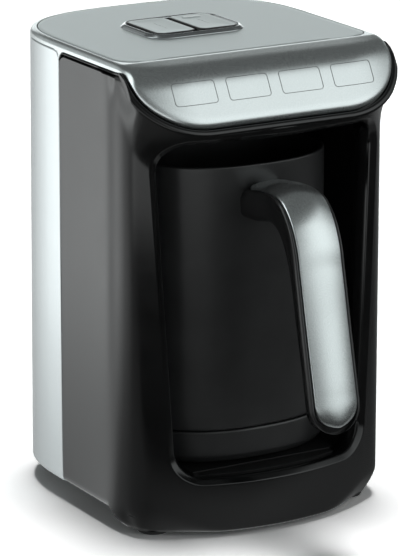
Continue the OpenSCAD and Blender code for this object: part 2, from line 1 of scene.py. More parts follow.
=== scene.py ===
"""Coffee maker dresser: smooth shells, finishes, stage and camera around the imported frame.
Lengths inside the shape functions are millimetres from the body's own axis and the foot of its side walls."""
import json
import math
import bmesh
import bpy
import numpy as np
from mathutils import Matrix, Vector


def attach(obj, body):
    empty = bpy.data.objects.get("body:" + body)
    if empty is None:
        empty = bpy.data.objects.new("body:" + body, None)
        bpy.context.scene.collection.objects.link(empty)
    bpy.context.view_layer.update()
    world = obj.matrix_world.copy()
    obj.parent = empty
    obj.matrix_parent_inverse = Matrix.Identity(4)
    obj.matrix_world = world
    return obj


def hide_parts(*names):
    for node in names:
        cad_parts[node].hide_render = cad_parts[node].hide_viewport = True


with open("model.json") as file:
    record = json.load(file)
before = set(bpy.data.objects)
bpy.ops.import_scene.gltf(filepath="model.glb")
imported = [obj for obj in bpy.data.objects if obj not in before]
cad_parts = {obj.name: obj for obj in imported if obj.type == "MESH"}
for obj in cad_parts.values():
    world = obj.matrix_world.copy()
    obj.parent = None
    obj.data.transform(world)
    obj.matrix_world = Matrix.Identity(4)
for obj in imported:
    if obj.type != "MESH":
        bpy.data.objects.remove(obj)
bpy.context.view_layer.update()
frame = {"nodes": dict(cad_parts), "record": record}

bl_info = {
    "name": "Coffee Maker Dresser",
    "version": (1, 0, 0),
    "blender": (4, 5, 0),
    "location": "View3D > Sidebar > Coffee Maker",
    "description": "Outer pieces, finishes, stage and camera of a coffee maker with a pull-out jug",
    "category": "Object",
}

NODES = frame["nodes"]
SHIFT = np.array([0.0, 20.11, 11.0])   # body axis and wall foot, from the frame's origin
MM = 0.001
DEG = math.pi / 180
LIMIT_X = 81.9                         # widest reach of a piece, just inside the solids' box
SIDE_TOP, REAR_TOP = 242.1, 242.3      # top edges of the front shell's sides and of the rear shell
ISLAND = (-2.5, 21.0)                  # middle of the key island
KEY_STEP = 13.3                        # each key's middle, to the side of the island's
JUG_Y = -20.0                          # middle of the jug
CORD_Z = 16                            # height of the cord inlet


# ---------------------------------------------------------------- shader maths
class Sock:
    """A node's output; arithmetic on it adds Math nodes."""
    def __init__(self, net, out):
        self.net, self.out = net, out

    def _op(self, kind, a, b):
        return self.net.math(kind, a, b)

    def __add__(self, o): return self._op("ADD", self, o)
    def __sub__(self, o): return self._op("SUBTRACT", self, o)
    def __rsub__(self, o): return self._op("SUBTRACT", o, self)
    def __mul__(self, o): return self._op("MULTIPLY", self, o)
    def __truediv__(self, o): return self._op("DIVIDE", self, o)


class Net:
    """One node tree, a material's or the world's."""
    def __init__(self, name, tree=None):
        self.mat = None
        if tree is None:
            self.mat = bpy.data.materials.new(name)
            self.mat.use_nodes = True
            tree = self.mat.node_tree
        self.tree = tree
        self.bsdf = self.tree.nodes.get("Principled BSDF")
        self.coords = None

    def add(self, kind, settings=None, ins=None, out=0):
        """Adds a node: its settings first, then its inputs' links or values."""
        n = self.tree.nodes.new(kind)
        for k, v in (settings or {}).items():
            if k == "stops":
                ramp = n.color_ramp
                while len(ramp.elements) < len(v):
                    ramp.elements.new(0.5)
                for e, (p, c) in zip(ramp.elements, v):
                    e.position = p
                    e.color = (c, c, c, 1)
            else:
                setattr(n, k, v)
        for k, v in (ins or {}).items():
            self.feed(n.inputs[k], v)
        return Sock(self, n.outputs[out])

    def feed(self, socket, v):
        if isinstance(v, Sock):
            self.tree.links.new(v.out, socket)
        elif isinstance(v, (tuple, list)) and len(v) == 3 and socket.type == "RGBA":
            socket.default_value = (*v, 1)
        else:
            socket.default_value = v

    def coord(self, source="Object"):
        """Object coordinates, or the world's direction as Generated; made once."""
        if self.coords is None:
            self.coords = self.add("ShaderNodeTexCoord", out=source)
        return self.coords

    def place(self, scale=(1, 1, 1)):
        """Object coordinates, scaled per axis."""
        return self.add("ShaderNodeMapping", None, {"Vector": self.coord(), "Scale": scale})

    def math(self, kind, *values):
        return self.add("ShaderNodeMath", {"operation": kind}, dict(enumerate(values)))

    def ray(self, kind):
        return self.add("ShaderNodeLightPath", out=kind)

    def noise(self, scale, detail, rough, stretch=(1, 1, 1)):
        return self.add("ShaderNodeTexNoise", None,
                        {"Vector": self.place(stretch), "Scale": scale, "Detail": detail, "Roughness": rough})

    def axis(self, k):
        return self.add("ShaderNodeSeparateXYZ", None, {0: self.coord()}, out=k)

    def span(self, v, a, b, c=0.0, d=1.0, smooth=False):
        """Value v carried from the span a..b onto c..d."""
        return self.add("ShaderNodeMapRange", {"interpolation_type": "SMOOTHSTEP"} if smooth else None,
                        {0: v, 1: a, 2: b, 3: c, 4: d})

    def window(self, v, a, b, c, d):
        """Rises as a smooth step from a to b and falls from c to d."""
        return self.span(v, a, b, smooth=True) * self.span(v, c, d, 1.0, 0.0, smooth=True)

    def by_ray(self, kind, others, chosen):
        """One shader for rays of a kind, another for all others."""
        return self.add("ShaderNodeMixShader", None, {0: self.ray(kind), 1: others, 2: chosen})

    def ramp(self, v, low, high, peak, stops):
        """Level by v on low..high, from (place, level) stops of at most peak."""
        stops = [((a - low) / (high - low), c / peak) for a, c in stops]
        return self.add("ShaderNodeValToRGB", {"stops": stops}, {0: (v - low) / (high - low)}) * peak

    def mix(self, fac, a, b):
        return self.add("ShaderNodeMix", {"data_type": "RGBA"}, {0: fac, 6: a, 7: b}, out=2)

    def bump(self, height, strength, distance):
        return self.add("ShaderNodeBump", None,
                        {"Height": height, "Strength": strength, "Distance": distance})

    def put(self, **sockets):
        """Feeds the surface shader; a name is its socket's with _ for a space."""
        for k, v in sockets.items():
            self.feed(self.bsdf.inputs[k.replace("_", " ")], v)
        return self.mat

    def coat(self, tone, gloss, relief, **sockets):
        """A finish from patterns: tone (pattern, low, high, colour, colour), gloss (pattern, low, high,
        roughness, roughness) and relief (pattern, strength, depth)."""
        pattern, low, high, first, second = tone
        return self.put(Base_Color=self.mix(self.span(pattern, low, high), first, second),
                        Roughness=self.span(*gloss), Normal=self.bump(*relief), **sockets)


def shade(c, k):
    """The colour c, k times as bright."""
    return tuple(v * k for v in c)


# ---------------------------------------------------------------- finishes
def gloss_black(name, tint, rough=0.13):
    """Polished moulding: faint wipe haze and very slow flow waves."""
    n = Net(name)
    haze = n.noise(38.0, 4.0, 0.6)
    wave = n.noise(9.0, 1.0, 0.4)
    return n.coat((haze, 0.35, 0.7, tint, shade(tint, 1.4)), (haze, 0.3, 0.75, rough, rough + 0.05),
                  (wave, 0.04, 0.0004))


def silver_lacquer(name, tint, rough, metal=0.85):
    """Silver lacquer: fine flake in gloss and bump, a slow cloud in the tone."""
    n = Net(name)
    flake = n.noise(5200.0, 1.0, 0.5)
    cloud = n.noise(24.0, 2.0, 0.5)
    return n.coat((cloud, 0.3, 0.7, shade(tint, 0.97), tint), (flake, 0.3, 0.7, rough - 0.03, rough + 0.04),
                  (flake, 0.08, 0.00002), Metallic=metal)


def satin_metal(name, tint, rough=0.38, metal=0.8, run=(1, 60, 1)):
    """Brushed sheet: long thin scratches one way, gloss and tone following them."""
    n = Net(name)
    brush = n.noise(120.0, 5.0, 0.7, run)
    cloud = n.noise(16.0, 2.0, 0.5)
    tone = n.mix(n.span(brush, 0.35, 0.65), shade(tint, 0.95), shade(tint, 1.04))
    return n.put(Base_Color=n.mix(n.span(cloud, 0.3, 0.75, 0.0, 0.35), tone, tint), Metallic=metal,
                 Roughness=n.span(brush, 0.3, 0.7, rough - 0.04, rough + 0.05),
                 Normal=n.bump(brush, 0.05, 0.00003))


def matt_black(name, tint, rough=0.5, scale=2600.0):
    """Eroded matt moulding: fine grain in bump, scuffs in gloss."""
    n = Net(name)
    grain = n.noise(scale, 2.0, 0.6)
    scuff = n.noise(30.0, 5.0, 0.65)
    return n.coat((scuff, 0.45, 0.8, tint, shade(tint, 1.6)), (scuff, 0.3, 0.8, rough - 0.05, rough + 0.08),
                  (grain, 0.2, 0.00004))


def plated(name, tint, rough=0.14):
    """Bright plating: a thin haze in tone and gloss."""
    n = Net(name)
    haze = n.noise(70.0, 4.0, 0.6)
    return n.put(Base_Color=n.mix(n.span(haze, 0.3, 0.7), tint, shade(tint, 0.94)), Metallic=1.0,
                 Roughness=n.span(haze, 0.3, 0.75, rough, rough + 0.07))


def turned(name, tint, worn, rough=0.3):
    """Bare metal part: turning lines round the height, tarnish in blotches."""
    n = Net(name)
    line = n.noise(300.0, 3.0, 0.6, (1, 1, 12))
    blot = n.noise(200.0, 4.0, 0.6)
    return n.coat((blot, 0.4, 0.8, tint, worn), (line, 0.3, 0.7, rough - 0.06, rough + 0.1),
                  (line, 0.1, 0.00003), Metallic=1.0)


def board_green(name):
    """Circuit board: solder mask with thin paler tracks."""
    n = Net(name)
    track = n.add("ShaderNodeTexWave", {"wave_type": "BANDS", "bands_direction": "DIAGONAL"},
                  {"Vector": n.place(), "Scale": 160.0, "Distortion": 6.0, "Detail": 1.0}, out=1)
    return n.put(Base_Color=n.mix(n.span(track, 0.78, 0.84), (0.012, 0.10, 0.05), (0.04, 0.2, 0.1)),
                 Roughness=0.35, Normal=n.bump(track, 0.15, 0.00005))


def moulded(name, tint, rough=0.35):
    """Small moulding: fine grain and handling marks."""
    n = Net(name)
    grain = n.noise(1800.0, 2.0, 0.6)
    mark = n.noise(80.0, 4.0, 0.6)
    return n.coat((mark, 0.4, 0.8, tint, shade(tint, 0.8)), (mark, 0.3, 0.8, rough - 0.04, rough + 0.08),
                  (grain, 0.15, 0.00003))


FINISH = {
    "gloss_black": lambda: gloss_black("gloss black moulding", tuple(look().black)),
    "jug_black": lambda: gloss_black("jug black", shade(look().black, 4.0), 0.3),
    "grip_black": lambda: gloss_black("grip black", shade(look().black, 3.0), 0.16),
    "key_edge": lambda: gloss_black("key edge black", tuple(look().black), 0.3),
    "silver_shell": lambda: silver_lacquer("silver shell lacquer", tuple(look().silver), 0.2),
    "silver_inlay": lambda: silver_lacquer("silver cover lacquer", tuple(look().inlay), 0.27, 0.95),
    "satin_panel": lambda: satin_metal("satin top metal", tuple(look().satin)),
    "matte_black": lambda: matt_black("matt black moulding", (0.006, 0.006, 0.0062)),
    "rubber_black": lambda: matt_black("foot rubber", (0.013, 0.013, 0.013), 0.7, 1500.0),
    "chrome_trim": lambda: plated("bright plating", tuple(look().plate)),
    "steel": lambda: turned("bare steel", (0.52, 0.53, 0.54), (0.42, 0.42, 0.43)),
    "brass": lambda: turned("contact brass", (0.62, 0.44, 0.17), (0.36, 0.22, 0.08)),
    "board_green": lambda: board_green("board lacquer"),
    "part_amber": lambda: moulded("wound copper lacquer", (0.42, 0.2, 0.06), 0.3),
    "part_blue": lambda: moulded("relay case", (0.03, 0.08, 0.26), 0.3),
    "pale_plastic": lambda: moulded("pale moulding", (0.6, 0.6, 0.56), 0.35),
    "light_guide": lambda: moulded("frosted light guide", (0.62, 0.68, 0.68), 0.3),
    "lens_dark": lambda: moulded("dark sensor window", (0.01, 0.01, 0.02), 0.06),
    "seal_red": lambda: moulded("silicone seal", (0.3, 0.04, 0.03), 0.45),
    "field_print": lambda: moulded("grey field print", (0.13, 0.14, 0.14), 0.4),
}
MADE = {}


def finish(name):
    """The finish of that name, made once."""
    if name not in MADE:
        MADE[name] = FINISH[name]()
    return MADE[name]


# ---------------------------------------------------------------- mesh tools
def ease(t):
    """Smooth step: 3t^2 - 2t^3 on 0..1, flat outside."""
    t = np.clip(t, 0, 1)
    return t * t * (3 - 2 * t)


def round_in(r, gap):
    """How far a rounded edge of radius r lies in at a gap from its end."""
    return r - np.sqrt(r * r - np.clip(r - gap, 0, r) ** 2)


def hold(x):
    """x kept inside the solids' box."""
    return np.clip(x, -LIMIT_X, LIMIT_X)


def sheet(grid, loop=False):
    """A grid of points with its quads; with loop, each row closes into a ring."""
    idx = np.arange(grid.shape[0] * grid.shape[1]).reshape(grid.shape[:2])
    idx = np.hstack([idx, idx[:, :1]]) if loop else idx
    return grid, np.stack([idx[:-1, :-1], idx[1:, :-1], idx[1:, 1:], idx[:-1, 1:]], -1)


def tube(grid):
    """A grid whose rows are closed rings, with its quads."""
    return sheet(grid, True)


def close_ends(grid):
    """Adds a first ring drawn to its own middle and a last ring drawn flat onto the middle plane."""
    first = grid[:1].mean(1, keepdims=True) * np.ones_like(grid[:1])
    last = grid[-1:].copy()
    last[..., 0] = 0
    return np.concatenate([first, grid, last])


def make_mesh(name, parts, sharp, outward):
    """One mesh from (points, faces) grids, its doubles merged and its faces made to agree. A point
    (x, y, z) as outward turns an open skin's faces away from it."""
    pts, quads, n = [], [], 0
    for p, f in parts:
        p, f = p.reshape(-1, 3), f.reshape(-1, 4)
        pts.append(p)
        quads.append(f + n)
        n += len(p)
    pts, quads = np.vstack(pts), np.vstack(quads)
    me = bpy.data.meshes.new(name)
    me.from_pydata(((pts + SHIFT) * MM).tolist(), [], quads.tolist())
    bm = bmesh.new()
    bm.from_mesh(me)
    bmesh.ops.remove_doubles(bm, verts=bm.verts, dist=3e-6)
    bmesh.ops.dissolve_degenerate(bm, dist=1e-6, edges=bm.edges)
    loose = [v for v in bm.verts if not v.link_faces]
    bmesh.ops.delete(bm, geom=loose, context="VERTS")
    bmesh.ops.recalc_face_normals(bm, faces=bm.faces)
    bm.to_mesh(me)
    bm.free()
    if outward is not None:
        count = len(me.polygons)
        mid, normal, area = np.zeros((count, 3)), np.zeros((count, 3)), np.zeros(count)
        for key, values in (("center", mid), ("normal", normal), ("area", area)):
            me.polygons.foreach_get(key, values.reshape(-1))
        away = mid - (np.array(outward) + SHIFT) * MM
        if ((away * normal).sum(1) * area).sum() < 0:
            me.flip_normals()
    me.polygons.foreach_set("use_smooth", np.ones(len(me.polygons), bool))
    me.set_sharp_from_angle(angle=sharp * DEG)
    ob = bpy.data.objects.new(name, me)
    bpy.context.scene.collection.objects.link(ob)
    return ob


def piece(name, parts, sharp, outward, body, slot, nodes=(), look_name=None, wall=0):
    """Adds a piece: its mesh, the inward wall of an open skin, and its finish, slot, body and the solids
    that it replaces."""
    ob = make_mesh(name, parts, sharp, outward)
    if wall:
        m = ob.modifiers.new("wall", "SOLIDIFY")
        m.thickness, m.offset, m.use_even_offset = wall * MM, -1.0, False
    ob.data.materials.append(finish(look_name or slot))
    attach(ob, body)
    if nodes:
        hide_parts(*nodes)


def run_length(p):
    """Length along the line p up to each of its points."""
    return np.r_[0, np.cumsum(np.linalg.norm(np.diff(p, axis=0), axis=1))]


def bisect(low, high, too_low, rounds):
    """The value between low and high where too_low turns false."""
    for _ in range(rounds):
        mid = (low + high) / 2
        low, high = (mid, high) if too_low(mid) else (low, mid)
    return low


def resample(p, n):
    """n points evenly spaced by length along the line p."""
    d = run_length(p)
    t = np.linspace(0, d[-1], n)
    return np.stack([np.interp(t, d, p[:, k]) for k in range(p.shape[1])], 1)


def spline(p, n):
    """Smooth line through the points p: cubic Hermite pieces by chord length, n points in all."""
    p = np.asarray(p, float)
    d = run_length(p)
    m = np.gradient(p, d, axis=0)
    t = np.linspace(0, d[-1], n)
    i = np.clip(np.searchsorted(d, t) - 1, 0, len(p) - 2)
    h = (d[i + 1] - d[i])[:, None]
    u = (t[:, None] - d[i][:, None]) / h
    return ((2 * u**3 - 3 * u**2 + 1) * p[i] + (u**3 - 2 * u**2 + u) * h * m[i]
            + (3 * u**2 - 2 * u**3) * p[i + 1] + (u**3 - u**2) * h * m[i + 1])


def rounded(points, radii, k=6):
    """The polyline with each inner corner swapped for an arc tangent to both its legs."""
    p = [np.asarray(q, float) for q in points]
    out = [p[0]]
    for a, b, c, r in zip(p, p[1:], p[2:], radii):
        if r <= 0:
            out.append(b)
            continue
        u, v = (a - b) / np.linalg.norm(a - b), (c - b) / np.linalg.norm(c - b)
        half = math.acos(np.clip(u @ v, -1, 1)) / 2
        cut = min(r / math.tan(half), 0.49 * np.linalg.norm(a - b), 0.49 * np.linalg.norm(c - b))
        s, e = b + u * cut, b + v * cut
        mid = b + (u + v) / np.linalg.norm(u + v) * (cut / math.cos(half))
        t = np.linspace(-1, 1, k)[:, None]
        ang = (math.pi / 2 - half) * t
        axis = (b - mid) / np.linalg.norm(b - mid)
        side = (e - s) / np.linalg.norm(e - s)
        out.extend(mid + cut * math.tan(half) * (axis * np.cos(ang) + side * np.sin(ang)))
    out.append(p[-1])
    return np.array(out)


def rrect(w, d, r, n=10):
    """Rounded rectangle round 0,0 as points: four quarter arcs; w, d, r may be arrays (one outline each)."""
    w, d, r = (np.asarray(v, float)[..., None] for v in np.broadcast_arrays(w, d, r))
    t = np.linspace(0, 90, n) * DEG
    a = np.concatenate([t, t + math.pi / 2, t + math.pi, t + 1.5 * math.pi])
    sx = np.repeat([1, -1, -1, 1], n)
    sy = np.repeat([1, 1, -1, -1], n)
    return np.stack([sx * (w / 2 - r) + r * np.cos(a), sy * (d / 2 - r) + r * np.sin(a)], -1)


def superellipse(a, b, n, count):
    """x = a sgn(c)|c|^(2/n), y = b sgn(s)|s|^(2/n), points spread evenly by length."""
    t = np.linspace(0, 2 * math.pi, 2401)
    c, s = np.cos(t), np.sin(t)
    p = np.stack([a * np.sign(c) * np.abs(c) ** (2 / n), b * np.sign(s) * np.abs(s) ** (2 / n)], 1)
    return resample(p, count + 1)[:-1]


def rings(outline, prof, centre):
    """Loft: outline(inset) gives each ring's plan line, prof its (inset, z) rows. Row j of the grid is the
    plan line stepped in by inset j at height z j, moved to the centre."""
    plan = outline(prof[:, 0])
    z = np.broadcast_to(prof[:, 1][:, None, None], plan.shape[:2] + (1,))
    return tube(np.concatenate([plan + np.array(centre), z], -1))


# ---------------------------------------------------------------- body lines
class FrontLine:
    """Plan line of the front half, by arc length s from its middle. Its heading turns at 1 / front radius
    over the face, then by two bell curves over the corner, until it has turned 90 degrees at the side."""
    def __init__(self, b):
        step = 0.05
        s = np.arange(0, 200, step)
        half, rad = b["half"], b["front_r"]

        def trace(s0):
            bell = lambda c, w: np.exp(-((s - c) / w) ** 2) / (w * math.sqrt(math.pi))
            base = (1 - ease((s - s0 + 10) / 24)) / rad
            rest = math.pi / 2 - base.sum() * step
            turn = np.cumsum(base + rest * (0.78 * bell(s0, 7.0) + 0.22 * bell(s0 + 16, 11))) * step
            x, y = np.cumsum(np.cos(turn)) * step, np.cumsum(np.sin(turn)) * step
            return turn, x - x[0], y - y[0] - b["front_y"]

        self.turn, self.x, self.y = trace(bisect(50.0, 110.0, lambda s0: trace(s0)[1][-1] < half, 40))
        self.s = s

    def at(self, s, z, depth=0.0):
        """Point at arc length s and height z, stepped in by depth square to the wall."""
        a, sg = np.abs(s), np.sign(s)
        t = np.interp(a, self.s, self.turn)
        x = np.interp(a, self.s, self.x) - depth * np.sin(t)
        y = np.interp(a, self.s, self.y) + depth * np.cos(t)
        return np.stack(np.broadcast_arrays(sg * x, y, z), -1)

    def s_of_x(self, x):
        return np.sign(x) * np.interp(np.abs(x), self.x, self.s)

    def s_of_y(self, y):
        return np.interp(y, self.y, self.s)


class Visor:
    """Developed sheet of the top and the face: q runs forward from the crease, x across.
    The profile's slope takes a quick first bend, then grows as a smooth step to the face's slope; beyond the
    straight middle it is turned about an upright axis, so the ends fall back."""
    CREASE, TOP = -47.6, 246.8           # where the top turns down
    SLOPE, SPAN = 61.0, 22.6             # the face's slope and the length of the bend to it
    FACE_Y, FACE_Z = -74.75, 229.85      # a point of the straight face
    AXIS_Y, STRAIGHT = 7.3, 48.0         # upright axis of the ends, and the half width before them

    def __init__(self):
        step = 0.02
        q = np.arange(0, 90, step)

        def profile(q0):
            slope = self.SLOPE * DEG * (0.12 * np.clip(q / 1.5, 0, 1) + 0.88 * ease((q - q0) / self.SPAN))
            return self.CREASE - np.cumsum(np.cos(slope)) * step, self.TOP - np.cumsum(np.sin(slope)) * step

        def below_face(q0):
            y, z = profile(q0)
            return not np.interp(-self.FACE_Y, -y, z) > self.FACE_Z

        self.q = q
        self.y, self.z = profile(bisect(-12.0, 20.0, below_face, 30))

    def q_of_z(self, z):
        return np.interp(-np.asarray(z, float), -self.z, self.q)

    def at(self, x, q):
        x, q = np.broadcast_arrays(np.asarray(x, float), np.asarray(q, float))
        y = np.where(q < 0, self.CREASE - q, np.interp(q, self.q, self.y))
        z = np.where(q < 0, self.TOP, np.interp(q, self.q, self.z))
        r = self.AXIS_Y - np.interp(np.maximum(q, 0), self.q, self.y)
        over = np.maximum(np.abs(x) - self.STRAIGHT, 0)
        back = r - np.sqrt(np.maximum(r * r - over * over, 1))
        return np.stack([x, y + back * ease(q / 20), z], -1)

    def normal(self, x, q):
        e = 0.05
        a = self.at(x + e, q) - self.at(x - e, q)
        b = self.at(x, q + e) - self.at(x, q - e)
        n = -np.cross(a, b)
        return n / np.linalg.norm(n, axis=-1, keepdims=True)


def body_sizes():
    """The body's sizes set in the panel, in millimetres, and its lean as a slope."""
    s = bpy.context.scene.coffee_body
    return {"half": s.width / MM / 2, "front_y": s.front / MM, "front_r": s.front_radius / MM,
            "back": s.back / MM, "lean": math.tan(s.lean), "seam": s.seam / MM}


def look():
    """The colours set in the panel."""
    return bpy.context.scene.coffee_look


def rear_outline(b, inset, z, n=181):
    """Right half of the rear plan line at height z, from the middle of the back to the seam: a superellipse
    drawn in towards the seam as the back leans, then the straight side."""
    t = np.linspace(90, 0, 721) * DEG
    x = (b["half"] - inset) * np.cos(t) ** (2 / 2.9)
    y = 20 + (b["back"] - 20 - inset) * np.sin(t) ** (2 / 2.9)
    y = b["seam"] + (y - b["seam"]) * (1 - z * b["lean"] / (b["back"] - b["seam"]))
    return resample(np.stack([x, y], 1), n)


def cover_line(b, v):
    """Right half of the silver cover's edge in developed coordinates (x, q), with the panel's edge beside it,
    from the middle of the back round to the middle of the face, in matched stretches."""
    to_q = lambda p: np.stack([p[:, 0], v.CREASE - p[:, 1]], 1)
    line = lambda *p: np.array(p, float)
    half, rear_z, side_end = b["half"], 244, -12.2   # the straight side ends at q = side_end
    bow_x, cut = 41, 200                             # the face's elliptic ends start at x = bow_x
    t = np.linspace(0, 90, 361) * DEG
    bow = np.stack([bow_x + 39.3 * np.cos(t), v.q_of_z(241.3 - 24.9 * np.sin(t))], 1)
    outer = [to_q(rear_outline(b, 0, rear_z)), line((half, v.CREASE - 20), (half, side_end)),
             np.vstack([line((half, side_end)), bow[:cut]]), bow[cut - 1:],
             line((bow_x, bow[-1, 1]), (0, bow[-1, 1]))]
    panel, bend, groove = 76.9, 12, (38, -0.2)       # the panel's half width, corner radius and front edge
    t = np.linspace(0, 80, 60) * DEG
    corner = np.stack([panel - bend + bend * np.cos(t), side_end + bend * np.sin(t)], 1)
    inner = [to_q(rear_outline(b, 3.4, rear_z)), line((panel, v.CREASE - 20), (panel, side_end)), corner,
             line(corner[-1], groove), line(groove, (0, groove[1]))]

    def join(parts):
        points = [resample(p, n + 1)[:-1] for p, n in zip(parts, (100, 70, 70, 40, 26))]
        return np.vstack(points + [parts[-1][-1:]])
    return join(outer), join(inner)


def mirror_loop(half):
    """Closed loop from a half line that starts and ends on the middle plane; x flips on the way back."""
    back = half[1:-1][::-1].copy()
    back[:, 0] *= -1
    return np.vstack([half, back])


def edge_frame(v, loop):
    """Along a closed (x, q) loop: place, the sheet's normal, outward unit step in the sheet and its 3D
    direction."""
    d = np.roll(loop, -1, 0) - np.roll(loop, 1, 0)
    d /= np.linalg.norm(d, axis=1, keepdims=True)
    out = np.stack([-d[:, 1], d[:, 0]], 1)
    mid = loop.mean(0)
    if ((loop - mid) * out).sum() < 0:
        out = -out
    p = v.at(loop[:, 0], loop[:, 1])
    n = v.normal(loop[:, 0], loop[:, 1])
    step = v.at(loop[:, 0] + 0.05 * out[:, 0], loop[:, 1] + 0.05 * out[:, 1]) - p
    step /= np.linalg.norm(step, axis=1, keepdims=True)
    return p, n, out, step


def seam_tab(b, y):
    """Depth of the small silver web where the front and rear shells' rounded top corners meet."""
    u = np.clip(np.abs(y - b["seam"]) / 6.5, 0, 1)
    return 6.0 * (1 - np.sqrt(1 - (1 - u) ** 2))


def cover_edge(b, v):
    """The cover's edge loop with what its rounding needs: round width and depth, and wall height. The face
    has a wide soft margin; the sides and back a 3 mm round over a short upright wall."""
    half_out, half_in = cover_line(b, v)
    outer, inner = mirror_loop(half_out), mirror_loop(half_in)
    p, n, out, step = edge_frame(v, outer)
    face = ease((outer[:, 1] + 4) / 26)
    wide = 3.0 + 2.3 * face
    deep = 3.0 - 0.4 * face
    on_side = (outer[:, 1] < -20) & (np.abs(outer[:, 0]) > 70)
    wall = 1.3 - 0.7 * face + seam_tab(b, v.CREASE - outer[:, 1]) * on_side
    return outer, inner, p, n, out, step, wide, deep, wall


# ---------------------------------------------------------------- shapes
def cover_shape(b, v):
    """Silver cover: rows run from the panel's groove outwards over the sheet, round the margin (an ellipse
    quarter square to the sheet), then down the wall and back under."""
    outer, inner, p, n, out, step, wide, deep, wall = cover_edge(b, v)
    across = outer - inner
    far = np.linalg.norm(across, axis=1)
    aim = across / far[:, None]
    cosine = np.clip((aim * out).sum(1), 0.35, 1)
    rows = []
    lift = []
    for o, h in ((0.0, -0.75), (0.02, -0.25), (0.1, -0.06), (0.28, 0.0)):
        rows.append(inner + aim * o)
        lift.append(np.full(len(outer), h))
    reach = far - wide / cosine
    for f in np.linspace(0, 1, 30)[1:]:
        rows.append(inner + aim * (0.28 + (np.maximum(reach, 0.35) - 0.28) * f)[:, None])
        lift.append(np.zeros(len(outer)))
    for a in np.linspace(0, 90, 13)[1:] * DEG:
        left = wide * (1 - math.sin(a)) / cosine
        rows.append(outer - aim * np.minimum(left, far - 0.36)[:, None])
        lift.append(-deep * (1 - math.cos(a)))
    flat = np.array(rows)
    h = np.array(lift)
    grid = v.at(flat[..., 0], flat[..., 1]) + v.normal(flat[..., 0], flat[..., 1]) * h[..., None]
    foot = [p - n * (deep + wall * k)[:, None] for k in (0.4, 0.9)]
    foot += [p - n * (deep + wall)[:, None] - step * o for o in (0.25, 2.0)]
    return tube(np.concatenate([grid, np.array(foot)]))


def panel_shape(b, v):
    """Flat satin panel between its outline and the button island's opening, edge turned down."""
    loop = mirror_loop(cover_line(b, v)[1])
    edge = v.at(loop[:, 0], np.minimum(loop[:, 1], -0.2))
    mid = np.array(ISLAND)
    half_x, half_y, far = 29.0, 22.5, 30.0       # the opening, hidden under the bezel
    ray = edge[:, :2] - mid
    ray /= np.linalg.norm(ray, axis=1, keepdims=True)
    reach = 1 / np.maximum(np.abs(ray[:, 0]) / half_x, np.abs(ray[:, 1]) / half_y)
    hole = mid + ray * np.minimum(reach, far)[:, None]
    rows, z = [], []
    for o, dz in ((0.5, -0.8), (0.5, -0.28), (0.58, -0.1), (0.8, 0.0)):
        rows.append(edge[:, :2] - ray * o)
        z.append(dz)
    for f in np.linspace(0, 1, 22)[1:]:
        rows.append((edge[:, :2] - ray * 0.8) * (1 - f) + hole * f)
        z.append(0.0)
    rows.append(hole)
    z.append(-0.7)
    plan = np.array(rows)
    zz = np.broadcast_to(v.TOP + np.array(z)[:, None, None], plan.shape[:2] + (1,))
    return tube(np.concatenate([plan, zz], -1))


def trim_lines(b, v):
    """The bead along the cover's edge: the cover's foot with its normal and outward direction, the bead's
    width and rise, full on the face and narrowing to a hidden lip along the sides, and q."""
    outer, _, p, n, _, step, _, deep, wall = cover_edge(b, v)
    foot = p - n * (deep + wall)[:, None]
    q = outer[:, 1]
    width = -0.5 + 1.9 * ease((q + 36) / 24) + 3.4 * ease((q + 16) / 22)
    width = np.minimum(width, (LIMIT_X - np.abs(foot[:, 0])) / np.maximum(np.abs(step[:, 0]), 0.05))
    rise = -0.35 + 2.5 * ease((q + 8) / 30)
    return foot, n, step, width, rise, q


def trim_shape(b, v):
    """Black bead: a rounded band beside the cover's edge, its outer side turned back into the body."""
    foot, n, step, width, rise, q = trim_lines(b, v)
    rows = []
    for e, h in ((-2.0, -1.2), (-0.3, -1.0), (0.45, -0.9)):
        rows.append(foot + step * np.minimum(e, width)[:, None] + n * h)
    for a in np.linspace(90, -60, 12) * DEG:
        e = 0.6 + (width - 0.6) * (0.5 - 0.5 * math.sin(a)) / 0.935
        bulge = np.cos(a * 0.98) ** 0.6 if abs(a) < 1.56 else 0.0
        rows.append(foot + step * np.maximum(e, -0.6)[:, None] + n * (-0.9 + (rise + 0.9) * bulge)[:, None])
    last = rows[-1]
    for g in (3.0, 9.0):
        rows.append(last - n * 0.5 + np.array([0, g, 0]) - step * 0.3 * g)
    grid = np.array([np.asarray(r, float) for r in rows])
    grid[..., 0] = hold(grid[..., 0])
    keep = q > -62
    grid, faces = tube(grid)
    return grid, faces[:, keep & np.roll(keep, -1)]


def top_edge(b, v, line):
    """Where the front shell's wall ends under the cover and bead: arc length s, and the point that the wall
    is drawn to there, which makes the flare at the shoulders."""
    foot, n, step, width, _, q = trim_lines(b, v)
    under = 0.4 + 0.5 * ease((q + 36) / 24)
    goal = foot + step * np.maximum(0.8 * width - 1.0, -0.6)[:, None] - n * under[:, None]
    goal = goal[:len(cover_line(b, v)[0])]
    x, y = goal[:, 0], goal[:, 1]
    side = (y < b["seam"] + 1) & (y > -44)
    s_side = line.s_of_y(y[side])
    front = (x < 76.5) & (y < -50)
    s_front = line.s_of_x(x[front])
    mid = (y <= -44) & ~front
    s_mid = np.linspace(s_side[-1], s_front[0], 42)[1:-1]
    s = np.r_[s_side, s_mid, s_front]
    pts = np.vstack([goal[side], resample(goal[mid], 40), goal[front]])
    order = np.argsort(s)
    return s[order], pts[order]


